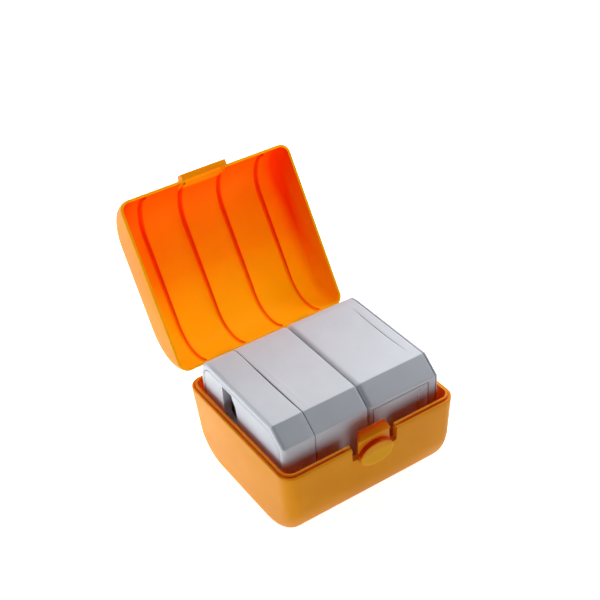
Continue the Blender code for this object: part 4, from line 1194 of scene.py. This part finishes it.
def build_plug_body():
    """The main shell of the right module, with its fuse well and its slots for the pins."""
    stations = rounded_end(PLUG_LEFT, 1, PLUG_WALL, 8)
    at_groove = [GROOVE_X + 0.1 * k for k in range(-4, 10)]
    xs = [7, 10, 13, 16, 19, 22, 25, 28, 30, 31, 31.5] + at_groove + [33.3, 33.8, 34.6, 35.6]
    stations += [(x, 0.0) for x in xs]
    seam = PLUG_PARTING - SEAM
    stations += [(seam - 0.45, 0.0), (seam - 0.15, 0.06), (seam, 0.28)]
    stations += [(seam, PLUG_WALL), (PLUG_LEFT + PLUG_WALL, PLUG_WALL)]
    body = loft("plug_shell", module_loops(stations, None, plug_groove))
    low = (COVER_LOW.x - COVER_GAP, MODULE_FRONT - 5, COVER_LOW.z - COVER_GAP)
    high = (COVER_HIGH.x + COVER_GAP, MODULE_FRONT + 1.5, COVER_HIGH.z + COVER_GAP)
    tools = [box_piece("cover_seat", low, high, 0.25)]
    middle = middle_of("fuse_body")
    low = (COVER_LOW.x + 2.0, MODULE_FRONT - 5, middle.z - WELL_HALF)
    high = (COVER_HIGH.x - 2.0, MODULE_FRONT + 5, middle.z + WELL_HALF)
    tools.append(box_piece("fuse_well", low, high, 0.5))
    for name in ("plug_line_pin", "plug_neutral_pin", "plug_earth_pin"):
        low, high = node_box(name)
        low = (PLUG_LEFT - 5, low.y - PIN_GAP, low.z - PIN_GAP)
        high = (PLUG_LEFT + 5, high.y + PIN_GAP, high.z + PIN_GAP)
        tools.append(box_piece(name + "_slot", low, high, 0.3))
    cut(body, *tools)
    made = [body]
    for number in (1, 2):
        middle = middle_of(f"plug_screw_{number}")
        boss = boss_tube(f"plug_boss_{number}", PLUG_LEFT + 9, PLUG_PARTING - 4.0, middle, *PILOT_BOSS)
        low = (PLUG_LEFT + 9, middle.y + 2.0, middle.z - 1.0)
        high = (PLUG_PARTING - 4.0, MODULE_BACK - 1.4, middle.z + 1.0)
        made += [boss, box_piece(f"plug_boss_web_{number}", low, high)]
    place(made, "plug_module", "grey_plastic", "plug_body")


SPIGOT_OUT, SPIGOT_IN, SPIGOT_REACH = 2.9, 4.3, 3.5


def build_plug_cap():
    """The cap of the right end: a rounded plate, and a spigot that reaches into the body."""
    seam = PLUG_PARTING + SEAM
    stations = [(seam, 3.0), (seam, 0.28), (seam + 0.12, 0.06), (seam + 0.35, 0.0)]
    stations += rounded_end(PLUG_RIGHT, -1, 0.65, 5)[::-1]
    cap = loft("plug_cap_shell", module_loops(stations))
    cut(cap, *screw_seats("plug", PLUG_PARTING - 2, PLUG_RIGHT + 3))
    near, far = seam + 0.2, PLUG_PARTING - SPIGOT_REACH
    spigot = [(near, SPIGOT_OUT), (far, SPIGOT_OUT), (far, SPIGOT_IN), (near, SPIGOT_IN)]
    made = [cap, loft("plug_cap_spigot", module_loops(spigot), closed=True)]
    ends = (PLUG_PARTING - 3.7, PLUG_PARTING - 1.7, PLUG_PARTING + 0.4)
    made += head_bosses("plug_cap_boss", "plug", *ends)
    place(made, "plug_module", "grey_plastic", "plug_end_cap")


RIDGE_PROUD = 0.2
RIDGE_HALF = 0.35
RIDGE_PITCH = 1.3


def build_fuse_cover():
    """The cover with its rounded edges and three upright grip ridges."""
    cover = box_piece("fuse_cover_panel", COVER_LOW + Vector((0, RIDGE_PROUD, 0)), COVER_HIGH, 0.25)
    ridges = []
    for k in range(3):
        x = COVER_HIGH.x - (2.4 + RIDGE_PITCH * k)
        low = (x - RIDGE_HALF, COVER_LOW.y, COVER_LOW.z + 2.0)
        high = (x + RIDGE_HALF, COVER_LOW.y + 0.9, COVER_HIGH.z - 1.2)
        ridges.append(box_piece(f"ridge_{k}", low, high, 0.28))
    join(cover, *ridges)
    place([cover], "cover", "grey_plastic", "fuse_cover")


# ---------------------------------------------------------------- the object

build_tub()
build_lid()
build_latch()
build_socket_cap()
build_socket_body()
build_face_plate()
build_plug_body()
build_plug_cap()
build_fuse_cover()


# ---------------------------------------------------------------- camera, floor and light

# the camera: its distance and its shift sideways and up are in widths of the case
CASE_WIDTH = 0.085
VIEW_AZIMUTH = math.radians(31.434)
VIEW_ELEVATION = math.radians(35.572)
VIEW_ROLL = math.radians(-4.064)
VIEW_DISTANCE = 5.8303
VIEW_SHIFT = (0.0968, -0.4398)
LENS = 70.886


def view_axes():
    """The camera's ways forward, right and up, before its roll."""
    forward = Vector((math.sin(VIEW_AZIMUTH), math.cos(VIEW_AZIMUTH), 0)) * math.cos(VIEW_ELEVATION)
    forward.z = -math.sin(VIEW_ELEVATION)
    right = forward.cross(Vector((0, 0, 1))).normalized()
    return forward, right, right.cross(forward)


def add_camera():
    forward, right, up = view_axes()
    across = right * math.cos(VIEW_ROLL) + up * math.sin(VIEW_ROLL)
    upward = up * math.cos(VIEW_ROLL) - right * math.sin(VIEW_ROLL)
    place = (-forward * VIEW_DISTANCE - across * VIEW_SHIFT[0] - upward * VIEW_SHIFT[1]) * CASE_WIDTH
    place.z += RIM_Z * MM
    data = bpy.data.cameras.new("view")
    data.sensor_width = 36.0
    data.lens = LENS
    data.clip_start = 0.01
    camera = bpy.data.objects.new("view", data)
    bpy.context.scene.collection.objects.link(camera)
    turn = Matrix((across, upward, -forward)).transposed().to_4x4()
    camera.matrix_world = Matrix.Translation(place) @ turn
    bpy.context.scene.camera = camera


# lengths of the lights and the floor are in metres
LIGHT_AIM = (0, 0, 0.045)
FAR_SIZE, FAR_REACH = 0.35, 0.7
NEAR_PLACE, NEAR_SIZE, NEAR_POWER = (0.22, -0.02, 0.17), 0.1, 0.24
FLOOR_HALF = 1.6


def area_light(name, place, size, power):
    """A square soft box that faces the object."""
    data = bpy.data.lights.new(name, "AREA")
    data.size = size
    data.energy = power
    lamp = bpy.data.objects.new(name, data)
    lamp.location = place
    lamp.rotation_euler = (Vector(LIGHT_AIM) - Vector(place)).to_track_quat("-Z", "Y").to_euler()
    bpy.context.scene.collection.objects.link(lamp)


# far soft boxes: the way to each from the object, and its power in watts
FAR_LIGHTS = {
    "high_back": ((0.0, 0.95, 0.45), 3.4),
    "top_right": ((0.5, 0.5, 0.8), 2.65),
    "left_back": ((-0.8, 0.6, 0.2), 1.3),
    "top_left": ((-0.5, 0.5, 0.7), 0.33),
    "front": ((0.0, -1.0, 0.06), 0.7),
}
# how brightly the table lights the object from the front right and from the left back, and its own look
TABLE_DIM, TABLE_BRIGHT, TABLE_SEEN = 0.45, 1.15, 0.96


def add_lights():
    """Soft boxes, most of them behind the object, and a white backdrop that lights nothing."""
    world = bpy.data.worlds.new("backdrop")
    bpy.context.scene.world = world
    world.use_nodes = True
    nodes, links = world.node_tree.nodes, world.node_tree.links
    seen = nodes.new("ShaderNodeLightPath").outputs["Is Camera Ray"]
    links.new(seen, nodes["Background"].inputs["Strength"])
    nodes["Background"].inputs["Color"].default_value = (1.0, 1.0, 1.0, 1.0)
    for name, (way, power) in FAR_LIGHTS.items():
        place = Vector(LIGHT_AIM) + Vector(way).normalized() * FAR_REACH
        area_light(name, place, FAR_SIZE, power)
    area_light("near_right", NEAR_PLACE, NEAR_SIZE, NEAR_POWER)


def add_floor():
    """A plain white sheet on a light table, brightest to the left and behind."""
    form = bmesh.new()
    ways = ((-1, -1), (1, -1), (1, 1), (-1, 1))
    form.faces.new([form.verts.new((x * FLOOR_HALF, y * FLOOR_HALF, 0)) for x, y in ways])
    mesh = bpy.data.meshes.new("floor")
    form.to_mesh(mesh)
    form.free()
    floor = bpy.data.objects.new("floor", mesh)
    bpy.context.scene.collection.objects.link(floor)
    look = Look("white_sheet")
    base = look.mix(look.noise(40.0, 2.0), (0.86, 0.86, 0.86), (0.88, 0.88, 0.88))
    look.set(Base_Color=base, Roughness=0.8, Specular_IOR_Level=0.1)
    way = look.add("ShaderNodeVectorMath", {0: look.place, 1: (-0.8, 0.6, 0.0)}, operation="DOT_PRODUCT")
    glow = look.spread(way.outputs["Value"], TABLE_DIM, TABLE_BRIGHT, -0.03, 0.08)
    seen = look.add("ShaderNodeLightPath").outputs["Is Camera Ray"]
    glow = look.spread(seen, glow, TABLE_SEEN, 0.0, 1.0)
    look.set(Emission_Color=(1.0, 1.0, 1.0), Emission_Strength=glow)
    mesh.materials.append(look.material)


add_camera()
add_lights()
add_floor()
bpy.context.scene.view_settings.view_transform = "Standard"
